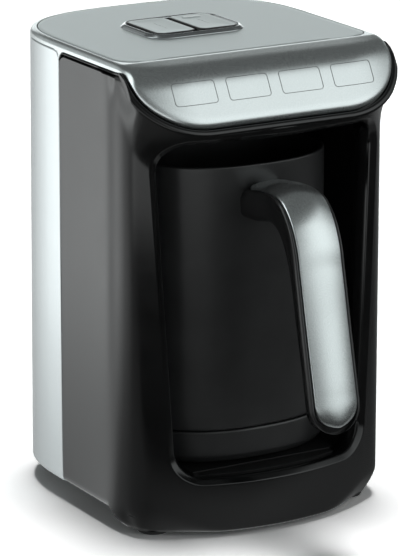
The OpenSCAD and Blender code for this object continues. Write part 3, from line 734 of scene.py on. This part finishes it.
def front_shape(b, v, line):
    """Front shell: (s, z) sheet on the plan line. A block round the niche runs in rings from its rolled lip
    out to a rectangle; a strip each side runs on to the seam. The wall flares to the bead by a square that
    falls from the bead down, its top edge and foot roll in, and a slanted cut eases each front corner."""
    s_top, p_top = top_edge(b, v, line)
    s_end = line.s_of_y(b["seam"] - 0.12)

    def z_top(s):
        a = np.abs(s)
        z = np.interp(a, s_top, p_top[:, 2])
        y = np.interp(a, line.s, line.y)
        return np.where(y > -30, SIDE_TOP - seam_tab(b, np.minimum(y, b["seam"])), z)

    def z_low(s):
        y = np.interp(np.abs(s), line.s, line.y)
        return -8.6 * ease((-32 - y) / 15.0)

    def wall(s, z, depth=0.0):
        """Point of the shell at arc length s and height z, depth inside its skin."""
        a = np.abs(s)
        zt, zl = z_top(s), z_low(s)
        y = np.interp(a, line.s, line.y)
        want_y = np.interp(a, s_top, p_top[:, 1]) - y
        want_x = np.interp(a, s_top, p_top[:, 0]) - np.interp(a, line.s, line.x)
        flare_height = 28.0 - 6.0 * ease((a - 76) / 18)
        flare = np.clip(1 - (zt - z) / flare_height, 0, 1) ** 2
        flare *= ease((-36 - y) / 8)
        top_round = 3.0 - 2.2 * ease((-40 - y) / 12)
        foot_round, cut_depth, seam_round = 2.2, 6.4, 0.7
        cut = ease((a - 30) / 42) * ease((-38 - y) / 14)     # 1 where the foot's corner is cut at a slant
        low = foot_round + 11.0 * cut
        d = np.clip(low - (z - zl), 0, low) / low
        foot = (foot_round + 4.2 * cut) * (1 - np.sqrt(1 - d * d)) * (1 - cut) + cut_depth * cut * d ** 1.35
        p = line.at(s, z, depth + round_in(top_round, zt - z) + foot + round_in(seam_round, s_end - a))
        p[..., 0] += np.sign(s) * np.clip(want_x, -2, 1.0) * flare
        p[..., 1] += np.minimum(want_y, 0) * flare
        return p

    low_x, low_z, low_r = 58.9, 21.6, 16.0       # half width, height and corner radius of the niche's foot
    head_x, head_z, head_r = 67.4, 206.0, 15.0   # the same of its head
    lean = 3.2                                   # degrees that its sides lean out
    n_arc, n_side = 29, 70

    def arc(cx, cz, r, start, stop):
        t = np.linspace(start, stop, n_arc) * DEG
        return np.stack([cx + r * np.cos(t), cz + r * np.sin(t)], 1)

    def mouth(e):
        """Right half of the niche's outline, stepped out by e, from the foot's middle to the head's."""
        low = arc(low_x - low_r, low_z + low_r, low_r + e, -90, -lean)
        head = arc(head_x - head_r, head_z - head_r, head_r + e, -lean, 90)
        side = low[-1] + (head[0] - low[-1]) * np.linspace(0, 1, n_side + 2)[1:-1, None]
        bottom = np.stack([np.linspace(0, low_x - low_r, 30)[:-1], np.full(29, low_z - e)], 1)
        top = np.stack([np.linspace(head_x - head_r, 0, 34)[1:], np.full(33, head_z + e)], 1)
        return np.vstack([bottom, low, side, head, top])

    k0 = n_arc + n_arc // 2                      # the outline's points that face the rectangle's corners
    k1 = k0 + n_side + n_arc
    total = len(mouth(0))
    f = np.linspace(0, 1, k1 - k0 + 1)
    sm = 77.0 + 7.5 * f
    zs = z_low(sm) + f * (z_top(sm) - z_low(sm))
    foot_s, head_s = np.linspace(0, sm[0], k0 + 1), np.linspace(sm[-1], 0, total - k1)
    rim = np.vstack([np.stack([foot_s, z_low(foot_s)], 1)[:-1], np.stack([sm, zs], 1),
                     np.stack([head_s, z_top(head_s)], 1)[1:]])
    rows = []
    for e, depth in rounded([(0, 12), (0, 2.6), (2.8, 0.0), (7, 0)], [2.2, 1.2], 9)[:-1]:
        m = mouth(e)
        rows.append((line.s_of_x(m[:, 0]), m[:, 1], depth))
    ms = np.stack([line.s_of_x(m[:, 0]), m[:, 1]], 1)
    for t in np.linspace(0, 1, 22)[1:]:
        c = ms * (1 - t) + rim * t
        rows.append((c[:, 0], c[:, 1], 0.0))
    parts = []
    for sign in (1, -1):
        grid = np.array([wall(np.where(s == 0, 1e-9, s) * sign, z, dp) for s, z, dp in rows])
        grid[..., 0] = np.where(np.abs(grid[..., 0]) < 0.02, 0, hold(grid[..., 0]))
        parts.append(sheet(grid))
        run = np.r_[np.linspace(0, 0.985, 84), 0.99, 0.9935, 0.9965, 0.9985, 1.0][:, None]
        ss = sm[None] + (s_end - sm[None]) * run
        zz = z_low(ss) + f[None] * (z_top(ss) - z_low(ss))
        strip = wall(sign * ss, zz)
        strip[..., 0] = hold(strip[..., 0])
        parts.append(sheet(strip))
    return parts


def rear_shape(b):
    """Rear shell: plan line by height, its top edge dipping to the small web at the seam, its foot and seam
    edges rounded in; cooling slots and the cord hole are left out of the grid at the back."""
    zf = np.r_[np.linspace(0, 0.012, 6), np.linspace(0.012, 0.985, 110)[1:], np.linspace(0.985, 1, 8)[1:]]
    base = rear_outline(b, 0, 0, 4001)
    d = run_length(base)
    end = np.argmax(base[:, 1] <= b["seam"] + 0.12) or -1
    total = d[-1] if base[-1, 1] > b["seam"] else d[end]
    pitch, half_slot, slots_x, slots_low, slots_top = 6, 1.2, 31.3, 26, 48
    cord_r = 6.6
    slot = [e for i in range(6) for e in (pitch * i - half_slot, pitch * i + half_slot) if e > 0]
    cols = np.unique(np.r_[slot, np.linspace(0, 36, 49), np.linspace(36, total - 1.2, 120),
                           total - np.linspace(1.2, 0, 6)])
    cols = cols[np.r_[True, np.diff(cols) > 0.12]]
    x = np.interp(cols, d, base[:, 0])
    y0 = np.interp(cols, d, base[:, 1])
    y0[cols >= total - 14] = np.interp(cols[cols >= total - 14], [total - 14, total],
                                       [np.interp(total - 14, d, base[:, 1]), b["seam"] + 0.12])
    zt = REAR_TOP - seam_tab(b, y0) * (x > 60)
    z = zf[:, None] * zt[None]
    y = b["seam"] + (y0 - b["seam"])[None] * (1 - z * b["lean"] / (b["back"] - b["seam"]))
    tx, ty = np.gradient(x), np.gradient(y0)
    nl = np.hypot(tx, ty)
    nx, ny = -ty / nl, tx / nl
    nx, ny = (nx, ny) if ny[0] > 0 else (-nx, -ny)
    foot_round, top_round, seam_round = 2.0, 0.5, 0.7
    inset = round_in(foot_round, z) + round_in(top_round, zt[None] - z)
    inset += round_in(seam_round, (total - cols)[None] * np.ones_like(z))
    zc = (z[:-1, :-1] + z[1:, 1:]) / 2
    xc = (x[:-1] + x[1:])[None] / 2 * np.ones_like(zc)
    slots = np.abs((xc + pitch / 2) % pitch - pitch / 2) < half_slot
    slots &= (xc < slots_x) & (zc > slots_low) & (zc < slots_top)
    hole = (slots | (np.hypot(xc, zc - CORD_Z) < cord_r)) & (y0[:-1][None] > 60)
    parts = []
    for sign in (1, -1):
        grid = np.stack([sign * (x[None] - nx[None] * inset), y - ny[None] * inset, z], -1)
        grid, faces = sheet(grid)
        parts.append((grid, faces[~hole]))
    return parts


def with_rows(prof, at, inset, low, high, count):
    """The profile with extra rows of one inset set in before its row number at."""
    extra = np.stack([np.full(count, inset), np.linspace(low, high, count)], 1)
    return np.vstack([prof[:at], extra, prof[at:]])


def jug_shape(j):
    """Jug vessel: superellipse rings up the outside, over the rounded rim, down the inside and across the
    floor, where they turn to ellipses."""
    a, c, top = j["a"], j["b"], j["top"]

    def ring(i):
        return superellipse(max(a - i, 0.01), max(c - i, 0.01), 2.4 if i < 20 else 2.0, 180)
    prof = rounded([(2.3, 37.5), (2.3, 42.6), (0.35, 42.6), (0.0, 43.6), (0, top), (2.2, top), (2.2, 46),
                    (16, 46), (c - 0.5, 46)], [0.1, 0.25, 0.5, 0.9, 0.9, 4, 0], 7)
    prof = with_rows(prof, int(np.argmax(prof[:, 1] > 60)), 0.0, 46, top - 3, 30)
    return rings(lambda insets: np.array([ring(i) for i in insets]), prof, (0, JUG_Y))


def skirt_shape(j):
    """Jug skirt: the same rings, a hair prouder, with a rounded foot and a recessed underside."""
    a, c = j["a"], j["b"]
    prof = rounded([(2.0, 40.5), (1.2, 41.85), (-0.1, 41.85), (-0.4, 40.8), (-0.4, 27.9), (2.4, 24.4),
                    (7.2, 22.6), (9.3, 22.6), (9.3, 25), (6, 25)],
                   [0.2, 0.5, 0.4, 2.2, 3.0, 1.2, 0.4, 0.4], 7)
    prof = with_rows(prof, int(np.argmax(prof[:, 1] < 36)), -0.4, 39.5, 31.5, 9)
    ring = lambda insets: np.array([superellipse(a - i, c - i, 2.4, 180) for i in insets])
    return rings(ring, prof, (0, JUG_Y))


# side lines of the grip, (y, z) from the jug's wall to the foot
GRIP_OUT = [(-60, 176.4), (-73, 177.6), (-85, 178.8), (-94, 178.6), (-100.5, 176.6), (-107, 172),
            (-112.6, 165.2), (-117, 156), (-121, 140.3), (-126.6, 115.5), (-131.6, 94), (-135, 79.6),
            (-137.4, 68.5), (-138.35, 58.2)]
GRIP_IN = [(-60, 157.6), (-73, 159.6), (-83, 161.7), (-89, 162.4), (-94, 161.6), (-99, 159),
           (-103.8, 153.6), (-107.6, 147.4), (-112.4, 135), (-118.2, 112), (-123.6, 91.5), (-126.9, 77),
           (-128.6, 67), (-129.4, 58.2)]


def grip_path(n, low=0.0):
    """Matched outer and inner side lines of the grip down to the height low, the points closer together at
    the foot."""
    fine, upper = 1201, int(n * 0.62)
    o, i = spline(GRIP_OUT, fine), spline(GRIP_IN, fine)
    foot = 0.8 + 0.2 * np.sin(np.linspace(0, 90, n - upper + 1)[1:] * DEG)
    k = np.r_[np.linspace(0, 0.8, upper), foot] * (np.count_nonzero(o[:, 1] > low) - 1)
    pick = lambda p: np.stack([np.interp(k, np.arange(fine), p[:, c]) for c in (0, 1)], 1)
    return pick(o), pick(i)


def foot_width(half, centre, z):
    """Half width: straight above the foot's centre, a circle's chord below it."""
    return np.sqrt(np.maximum(half * half - np.maximum(centre - z, 0) ** 2, 0.0))


def sweep(section_x, section_e, foot_half, foot_z, o, i, lift):
    """Section carried along the grip: x = factor * section x, depth from the inner line (0) to the outer
    line (1) plus a height square to it; the factor closes the foot as a circle."""
    aim = o - i
    deep = np.linalg.norm(aim, axis=1)
    aim = aim / deep[:, None]
    factor = foot_width(foot_half, foot_z, o[:, 1]) / foot_half
    yz = i[:, None] + aim[:, None] * (deep[:, None] * section_e + lift)[..., None]
    return np.stack([factor[:, None] * section_x, yz[..., 0], yz[..., 1]], -1)


def grip_core_shape():
    """Black core: an oval at the jug that eases into a section with a channel down its outer face, closed at
    the round foot. The oval is x = half sgn(c)|c|^0.66 and the same of the depth, at each point's angle."""
    o, i = grip_path(150)
    half, foot_z = 14.8, 73.0
    t = np.linspace(0, 90, 9) * DEG
    inner = np.stack([9.2 + 5.6 * np.sin(t), 0.3 * (1 - np.cos(t))], 1)
    lip = np.array([(half, 0.6), (half, 0.9), (14.65, 0.955), (14.3, 0.985), (13.9, 0.993), (13.45, 0.98),
                    (13.2, 0.95), (13.1, 0.88), (13.1, 0.72)])
    right = np.vstack([[(0, 0)], inner, lip])
    full = np.vstack([right, right[::-1] * np.array([-1, 1])])[:-1]
    a = np.arctan2(full[:, 1] - 0.5, full[:, 0] / (2 * half))
    bow = lambda v: np.sign(v) * np.abs(v) ** 0.66
    oval = np.stack([half * bow(np.cos(a)), 0.5 + 0.5 * bow(np.sin(a))], 1)
    t = ease((-o[:, 0] - 62) / 16)[:, None]
    section = [oval[:, k] * (1 - t) + full[:, k] * t for k in (0, 1)]
    return tube(close_ends(sweep(*section, half, foot_z, o, i, 0.0)))


def grip_inlay_shape():
    """Silver inlay: section crowned as height * (1 - |x / half|^2.1) over a small rounded edge, narrowed to
    a round head at the jug and closed at both ends."""
    low_z, half, head_y = 61.9, 12.75, 61.3
    o, i = grip_path(190, low_z)
    x = half * np.sin(np.linspace(-90, 90, 41) * DEG)
    x[[0, -1]] = -half, half
    u = np.abs(x / half)
    edge = 0.5 * (1 - np.sqrt(1 - np.clip((u - 0.955) / 0.045, 0, 1) ** 2))
    crown = 0.5 + 2.9 * (1 - u ** 2.1) - edge
    sx = np.r_[x, half, half, -half, -half]
    sh = np.r_[crown, -0.5, -3.2, -3.2, -0.5][None]
    start = ease((-o[:, 0] - head_y) / 12)[:, None]
    end = np.sqrt(1 - (1 - np.clip((o[:, 1] - low_z) / 4.5, 0, 1)) ** 2)[:, None]
    on_top = np.arange(len(sx))[None] < len(x)
    lift = np.where(on_top, sh * (0.4 + 0.6 * start) * (0.3 + 0.7 * end), sh)
    head = np.sqrt(1 - np.clip((o[:, 0] + 73) / 12.0, 0, 1) ** 2)[:, None]
    grid = sweep(sx[None] * head, np.ones((1, len(sx))), half, low_z + half, o, i, lift)
    return tube(close_ends(grid[o[:, 0] < -head_y]))


def lathe(prof, centre, axis="z", n=64):
    """Profile (radius, height) turned about an axis through the centre."""
    prof = np.asarray(prof, float)
    t = np.linspace(0, 2 * math.pi, n, endpoint=False)
    r, h = prof[:, 0][:, None], prof[:, 1][:, None] * np.ones(n)[None]
    a, c = r * np.cos(t)[None], r * np.sin(t)[None]
    return tube(np.stack([a, c, h] if axis == "z" else [a, h, c], -1) + np.array(centre, float))


def field_shapes(v):
    """The thin printed outlines of the four fields, laid on the face."""
    wide, deep, corner, pitch, top_z = 25.2, 12.8, 2.0, 32.1, 238.6
    rim = [rrect(wide - 2 * i, deep - 2 * i, corner - i) for i in (0.0, 0.0, 0.14, 0.28, 0.28)]
    rim = np.stack([resample(np.vstack([p, p[:1]]), 169)[:-1] for p in rim])
    height = np.array([-0.1, 0.12, 0.14, 0.12, -0.1])[:, None, None]
    q = float(v.q_of_z(top_z)) + deep / 2 - rim[..., 1]
    parts = []
    for place in (-1.5, -0.5, 0.5, 1.5):
        x = place * pitch + rim[..., 0]
        parts.append(tube(v.at(x, q) + v.normal(x, q) * height))
    return parts


# ---------------------------------------------------------------- stage, in metres
CORNER = (-0.0663, -0.025)             # the body's front left corner on the floor
# painted reflection: the light levels that reflections see on the floor round that corner, far from it and,
# lower as painted shadow of the body, near it: (degrees from the front towards the left, level)
GLOW_FAR = [(-180, 0.7), (-150, 0.45), (-130, 0.35), (-105, 0.2), (-80, 0.03), (45, 0.03), (65, 0.05),
            (80, 0.12), (97, 0.3), (113, 0.86), (125, 1.1), (131, 1.75), (136, 2.3), (141, 1.5), (145, 1.15),
            (148.5, 2.4), (153, 1.75), (160, 1.25), (170, 0.9), (180, 0.65)]
GLOW_NEAR_SHADED = [(-180, 0.6), (-150, 0.4), (-130, 0.3), (-90, 0.12), (-45, 0.4), (0, 0.3), (35, 0.2), (98, 0.27),
             (128, 0.36), (134, 0.5), (138, 0.8), (146, 1.15), (156, 0.95), (168, 0.7), (180, 0.48)]
# what they see of the front box: (degrees from the front towards the right, level)
BOX = [(-60, 0), (-35, 0.08), (-12, 0.27), (5, 0.7), (18, 1.02), (35, 1.2), (46, 1.15), (58, 0.95), (70, 0.6),
       (95, 0)]


def add_floor():
    """Pale floor, brightened for the camera. Reflections see a painted light map in its place, by heading
    round the body's front left corner, near it and far from it: painted reflections, with the near levels
    lower as a painted shadow of the body."""
    bpy.ops.mesh.primitive_plane_add(size=16, location=(0, 0, 0))
    floor = bpy.context.object
    floor.name = "stage_floor"
    n = Net("floor white")
    n.put(Base_Color=n.mix(n.ray("Is Camera Ray"), (0.95, 0.95, 0.95), (1.9, 1.9, 1.9)), Roughness=0.8,
          Specular_IOR_Level=0.0)
    x, y = n.axis(0), n.axis(1)
    away = n.add("ShaderNodeVectorMath", {"operation": "SUBTRACT"}, {0: n.coords, 1: (*CORNER, 0)})
    dist = n.add("ShaderNodeVectorMath", {"operation": "LENGTH"}, {0: away}, out=1)
    turn = n.math("ARCTAN2", CORNER[0] - x, CORNER[1] - y)
    far, near = (n.ramp(turn / DEG, -180, 180, 4.0, stops) for stops in (GLOW_FAR, GLOW_NEAR_SHADED))
    reach = n.math("MAXIMUM", n.span(dist, 0.1, 0.62, smooth=True), n.span(y * -1.0, 0.1, 0.18, smooth=True))
    front = n.window(turn, 0.0, 0.4, 1.5, 1.9)
    # painted reflection on the floor: the near levels are painted shadow of the body; the far levels and the
    # bright far front are painted light
    level = near + (far - near) * reach + front * n.span(dist, 0.65, 0.68, smooth=True) * 1.1
    glow = n.add("ShaderNodeEmission", None, {"Color": (0.97, 1.0, 1.0), "Strength": level})
    both = n.by_ray("Is Glossy Ray", Sock(n, n.bsdf.outputs[0]), glow)
    n.feed(n.tree.nodes["Material Output"].inputs["Surface"], both)
    floor.data.materials.append(n.mat)


def add_studio():
    """The world: white to the camera, soft windows of light in a dark surround to reflections, and one low
    wide window to the rest."""
    scene = bpy.context.scene
    world = scene.world or bpy.data.worlds.new("World")
    scene.world = world
    world.use_nodes = True
    world.node_tree.nodes.clear()
    w = Net("studio", world.node_tree)
    w.coord("Generated")
    dx, dy, dz = (w.axis(k) for k in range(3))
    az, el = w.math("ARCTAN2", dx, dy * -1.0) / DEG, w.math("ARCSINE", dz) / DEG
    box = w.ramp(az, -60, 120, 2.0, BOX)
    front = box * w.window(el, -3, 6, 41, 50) * w.span(el, 10, 34, 1.1, 1.0)
    back = w.window(az, 115, 145, 165, 180) * w.window(el, -5, 5, 15, 23) * 1.5
    strip = w.window(az, -120, -108, -92, -78) * w.window(el, -2, 5, 58, 75) * 2.0
    left = w.window(az, -179, -165, -135, -118) * w.window(el, -4, 2, 18, 40) * 0.43
    soft = w.window(az, -50, -20, 90, 130) * w.window(el, -5, 0, 8, 14) * 1.6 + 0.05
    light = lambda tint, level: w.add("ShaderNodeBackground", None, {"Color": tint, "Strength": level})
    pale = (0.95, 1.0, 1.0)
    lit = w.by_ray("Is Glossy Ray", light(pale, soft), light(pale, front + back + left + strip + 0.1))
    out = w.by_ray("Is Camera Ray", lit, light((1, 1, 1), 1.0))
    w.feed(w.tree.nodes.new("ShaderNodeOutputWorld").inputs["Surface"], out)


def add_aimed(name, data, place, aim):
    """Links a lamp or camera at a place, looking along aim."""
    ob = bpy.data.objects.new(name, data)
    bpy.context.scene.collection.objects.link(ob)
    ob.location = place
    ob.rotation_mode = "QUATERNION"
    ob.rotation_quaternion = Vector(aim).to_track_quat("-Z", "Y")
    return ob


def add_lights():
    """A high soft sun, which casts the shadow, and a key light; reflections see neither."""
    sun = bpy.data.lights.new("overhead", "SUN")
    sun.energy, sun.angle = 1.75, 17 * DEG
    add_aimed("overhead", sun, (0, 0, 0), (-0.05, -0.055, -1)).visible_glossy = False
    key = bpy.data.lights.new("key_box", "AREA")
    key.shape, key.size, key.size_y, key.energy = "RECTANGLE", 1.2, 1.2, 3
    place = Vector((1.0, -1.4, 1.2))
    add_aimed("key_box", key, place, Vector((0, 0, 0.12)) - place).visible_glossy = False


def add_camera():
    """The photograph's camera, as fitted to its edges."""
    cam = bpy.data.cameras.new("photo_camera")
    cam.lens, cam.sensor_width, cam.clip_end = 235.97, 36.0, 50
    az, el = math.radians(-30.0), math.radians(15.64)
    back = Vector((math.sin(az) * math.cos(el), -math.cos(az) * math.cos(el), math.sin(el)))
    scene = bpy.context.scene
    scene.camera = add_aimed("photo_camera", cam, (-0.9673, -1.64969, 0.6607), -back)
    scene.view_settings.view_transform = "Standard"


# ---------------------------------------------------------------- settings
def length(name, text, mm):
    return bpy.props.FloatProperty(name=name, description=text, default=mm * MM, unit="LENGTH", precision=4)


def colour(name, text, value):
    return bpy.props.FloatVectorProperty(name=name, description=text, default=value, size=3,
                                         subtype="COLOR", min=0, max=1)


class CoffeeBody(bpy.types.PropertyGroup):
    width: length("Width", "Across the flat sides", 160.6)
    front: length("Front", "Middle of the curved front from the body axis", 83)
    front_radius: length("Front radius", "Radius of the curved front in plan", 135)
    back: length("Back", "Depth of the rear half at its foot", 98)
    seam: length("Seam", "Seam between the shells, behind the axis", 17.6)
    lean: bpy.props.FloatProperty(name="Lean", description="Forward lean of the back", default=1.3 * DEG,
                                  unit="ROTATION")


class CoffeeJug(bpy.types.PropertyGroup):
    half_width: length("Half width", "Half width of the jug", 55)
    half_depth: length("Half depth", "Half depth of the jug", 43)
    rim: length("Rim", "Height of the jug's rim", 188)


class CoffeeLook(bpy.types.PropertyGroup):
    black: colour("Black", "Gloss black moulding", (0.005, 0.0051, 0.0052))
    silver: colour("Silver", "Rear shell lacquer", (0.64, 0.68, 0.69))
    inlay: colour("Cover silver", "Cover and grip lacquer", (0.66, 0.70, 0.70))
    satin: colour("Satin", "Top panel metal", (0.50, 0.55, 0.55))
    plate: colour("Plating", "Bright bezel", (0.66, 0.69, 0.70))


# ---------------------------------------------------------------- operators
class Step(bpy.types.Operator):
    """Base of the building steps"""
    bl_options = {"REGISTER"}

    def execute(self, context):
        self.build()
        return {"FINISHED"}


class COFFEE_OT_front_shell(Step):
    """Gloss black front shell with the rolled niche lip and the flared shoulders"""
    bl_idname, bl_label = "coffee.front_shell", "Front shell"

    def build(self):
        b = body_sizes()
        piece("shell_front", front_shape(b, Visor(), FrontLine(b)), 45, (0, 20, 120), "housing",
              "gloss_black", ["front_shell"], wall=2.2)


class COFFEE_OT_rear_shell(Step):
    """Silver rear shell with cooling slots and cord hole"""
    bl_idname, bl_label = "coffee.rear_shell", "Rear shell"

    def build(self):
        piece("shell_rear", rear_shape(body_sizes()), 45, (0, 0, 120), "housing", "silver_shell",
              ["rear_shell"], wall=2.4)


class COFFEE_OT_cover(Step):
    """Silver cover with the sloping face, its satin panel, the black bead and the printed field outlines"""
    bl_idname, bl_label = "coffee.cover", "Cover"

    def build(self):
        b, v = body_sizes(), Visor()
        for name, shape, sharp, low, slot, node in (
                ("cover_silver", cover_shape, 50, 200, "silver_inlay", "top_cover"),
                ("panel_satin", panel_shape, 30, 100, "satin_panel", "top_panel"),
                ("visor_bead", trim_shape, 50, 235, "gloss_black", "fascia_trim")):
            piece(name, [shape(b, v)], sharp, (0, 10, low), "housing", slot, [node])
        piece("field_outlines", field_shapes(v), 60, None, "housing", "pale_plastic", look_name="field_print")


class COFFEE_OT_buttons(Step):
    """Bright bezel, two satin keys and the small light bar"""
    bl_idname, bl_label = "coffee.buttons", "Button island"

    def build(self):
        cx, cy = ISLAND
        bezel = rounded([(0.0, 246.3), (0.0, 246.9), (1.3, 248.1), (2.1, 248.6), (2.7, 248.5), (3.2, 247.8),
                         (3.3, 242.0)], [0.3, 0.8, 0.5, 0.4, 0.3], 6)
        wide, deep, corner = 61, 48, 13
        outline = lambda i: rrect(wide - 2 * i, deep - 2 * i, corner - i, 14)
        piece("bezel_bright", [rings(outline, bezel, ISLAND)], 50, (cx, cy, 200), "housing", "chrome_trim",
              ["button_bezel"])
        flange = [(12.1, 244.2), (-0.95, 244.2), (-0.95, 244.8)]   # hidden, closes the gap round the key
        edge = np.vstack([flange, rounded([(0, 244.8), (0, 248.7), (1.0, 248.8)], [0.7], 7)])
        cap = np.array([(1.0, 248.8), (2.0, 248.84), (4, 248.72), (7, 248.62), (11, 248.55), (12.1, 248.55)])
        key_w, key_d, key_r, flange_r = 24.4, 39, 5.0, 9.0
        key_corner = lambda i: np.where(i < 0, flange_r, np.maximum(key_r - i, 0.05))
        key_outline = lambda i: rrect(key_w - 2 * i, key_d - 2 * i, key_corner(i), 12)
        for side, body, node in ((-1, "left_key", "left_button"), (1, "right_key", "right_button")):
            mid = (cx + side * KEY_STEP, cy)
            piece(node.replace("button", "edge"), [rings(key_outline, edge, mid)], 40, (*mid, 246), body,
                  "satin_panel", look_name="key_edge")
            piece(node.replace("button", "cap"), [rings(key_outline, cap, mid)], 40, (*mid, 246), body,
                  "satin_panel", [node])
        bar = rounded([(1.6, 246), (0, 246), (0, 248.95), (1.6, 248.95)], [0.1, 0.35], 5)
        bar_w, bar_d, bar_r = 11.6, 3.3, 1.6
        bar_outline = lambda i: rrect(bar_w - 2 * i, bar_d - 2 * i, np.maximum(bar_r - i, 0.02), 8)
        mid = (cx + KEY_STEP, cy + 13)
        piece("light_bar", [rings(bar_outline, bar, mid)], 40, (*mid, 247), "right_key", "light_guide",
              ["indicator_guide"])


class COFFEE_OT_jug(Step):
    """Jug vessel and skirt"""
    bl_idname, bl_label = "coffee.jug", "Jug"

    def build(self):
        s = bpy.context.scene.coffee_jug
        j = {"a": s.half_width / MM, "b": s.half_depth / MM, "top": s.rim / MM}
        for name, shape, low, node in (("jug_body", jug_shape, 44, "jug_vessel"),
                                       ("jug_foot", skirt_shape, 33, "jug_skirt")):
            piece(name, [shape(j)], 40, (0, JUG_Y, low), "jug", "gloss_black", [node], "jug_black")


class COFFEE_OT_grip(Step):
    """Handle: black channelled core and crowned silver inlay"""
    bl_idname, bl_label = "coffee.grip", "Handle"

    def build(self):
        piece("grip_core", [grip_core_shape()], 45, None, "jug", "gloss_black", ["handle_core"], "grip_black")
        piece("grip_inlay", [grip_inlay_shape()], 45, None, "jug", "silver_inlay", ["handle_inlay"])


class COFFEE_OT_feet(Step):
    """Rubber feet and the cord inlet's grommet"""
    bl_idname, bl_label = "coffee.feet", "Feet"

    def build(self):
        pad = rounded([(0.01, -11), (9, -11), (9, -3.2), (0.01, -3.2)], [1.2, 0.5], 7)
        for x, y, node in ((-61, -50, "foot_front_left"), (61, -50, "foot_front_right"),
                           (-56, 68, "foot_rear_left"), (56, 68, "foot_rear_right")):
            piece(node + "_pad", [lathe(pad, (x, y, 0))], 40, None, "housing", "rubber_black", [node])
        ring = rounded([(3.4, 89.6), (6, 89.6), (6, 98.5), (8.2, 98.5), (8.2, 101.25), (3.4, 101.25),
                        (3.4, 89.6)], [0.3, 0.1, 0.5, 1.0, 0.9], 7)
        piece("inlet_ring", [lathe(ring, (0, 0, CORD_Z), "y")], 40, None, "housing", "rubber_black",
              ["inlet_grommet"])


class COFFEE_OT_inner_parts(Step):
    """Finishes of the CAD parts that stay"""
    bl_idname, bl_label = "coffee.inner_parts", "Inner parts"

    def build(self):
        for part in frame["record"]["subparts"]:
            o = NODES[part["node"]]
            mat = finish(part["material_slot"])
            if not o.material_slots:
                o.data.materials.append(mat)
            for s in o.material_slots:
                s.material = mat


class COFFEE_OT_stage(Step):
    """Floor, studio light and camera"""
    bl_idname, bl_label = "coffee.stage", "Stage"

    def build(self):
        add_floor()
        add_studio()
        add_lights()
        add_camera()


class COFFEE_PT_panel(bpy.types.Panel):
    """Lists the building steps and the sizes"""
    bl_idname, bl_label = "COFFEE_PT_panel", "Coffee Maker"
    bl_space_type, bl_region_type, bl_category = "VIEW_3D", "UI", "Coffee Maker"

    def draw(self, context):
        for step in STEPS:
            self.layout.operator(step.bl_idname)
        for group in (context.scene.coffee_body, context.scene.coffee_jug, context.scene.coffee_look):
            for name in group.__annotations__:
                self.layout.prop(group, name)


STEPS = (COFFEE_OT_inner_parts, COFFEE_OT_front_shell, COFFEE_OT_rear_shell, COFFEE_OT_cover,
         COFFEE_OT_buttons, COFFEE_OT_jug, COFFEE_OT_grip, COFFEE_OT_feet, COFFEE_OT_stage)
GROUPS = {"coffee_body": CoffeeBody, "coffee_jug": CoffeeJug, "coffee_look": CoffeeLook}


def register():
    for name, group in GROUPS.items():
        bpy.utils.register_class(group)
        setattr(bpy.types.Scene, name, bpy.props.PointerProperty(type=group))
    for step in STEPS:
        bpy.utils.register_class(step)
    bpy.utils.register_class(COFFEE_PT_panel)


def unregister():
    bpy.utils.unregister_class(COFFEE_PT_panel)
    for step in reversed(STEPS):
        bpy.utils.unregister_class(step)
    for name, group in GROUPS.items():
        delattr(bpy.types.Scene, name)
        bpy.utils.unregister_class(group)


def main():
    register()
    for step in STEPS:
        group, name = step.bl_idname.split(".")
        getattr(getattr(bpy.ops, group), name)()


if __name__ == "__main__":
    main()
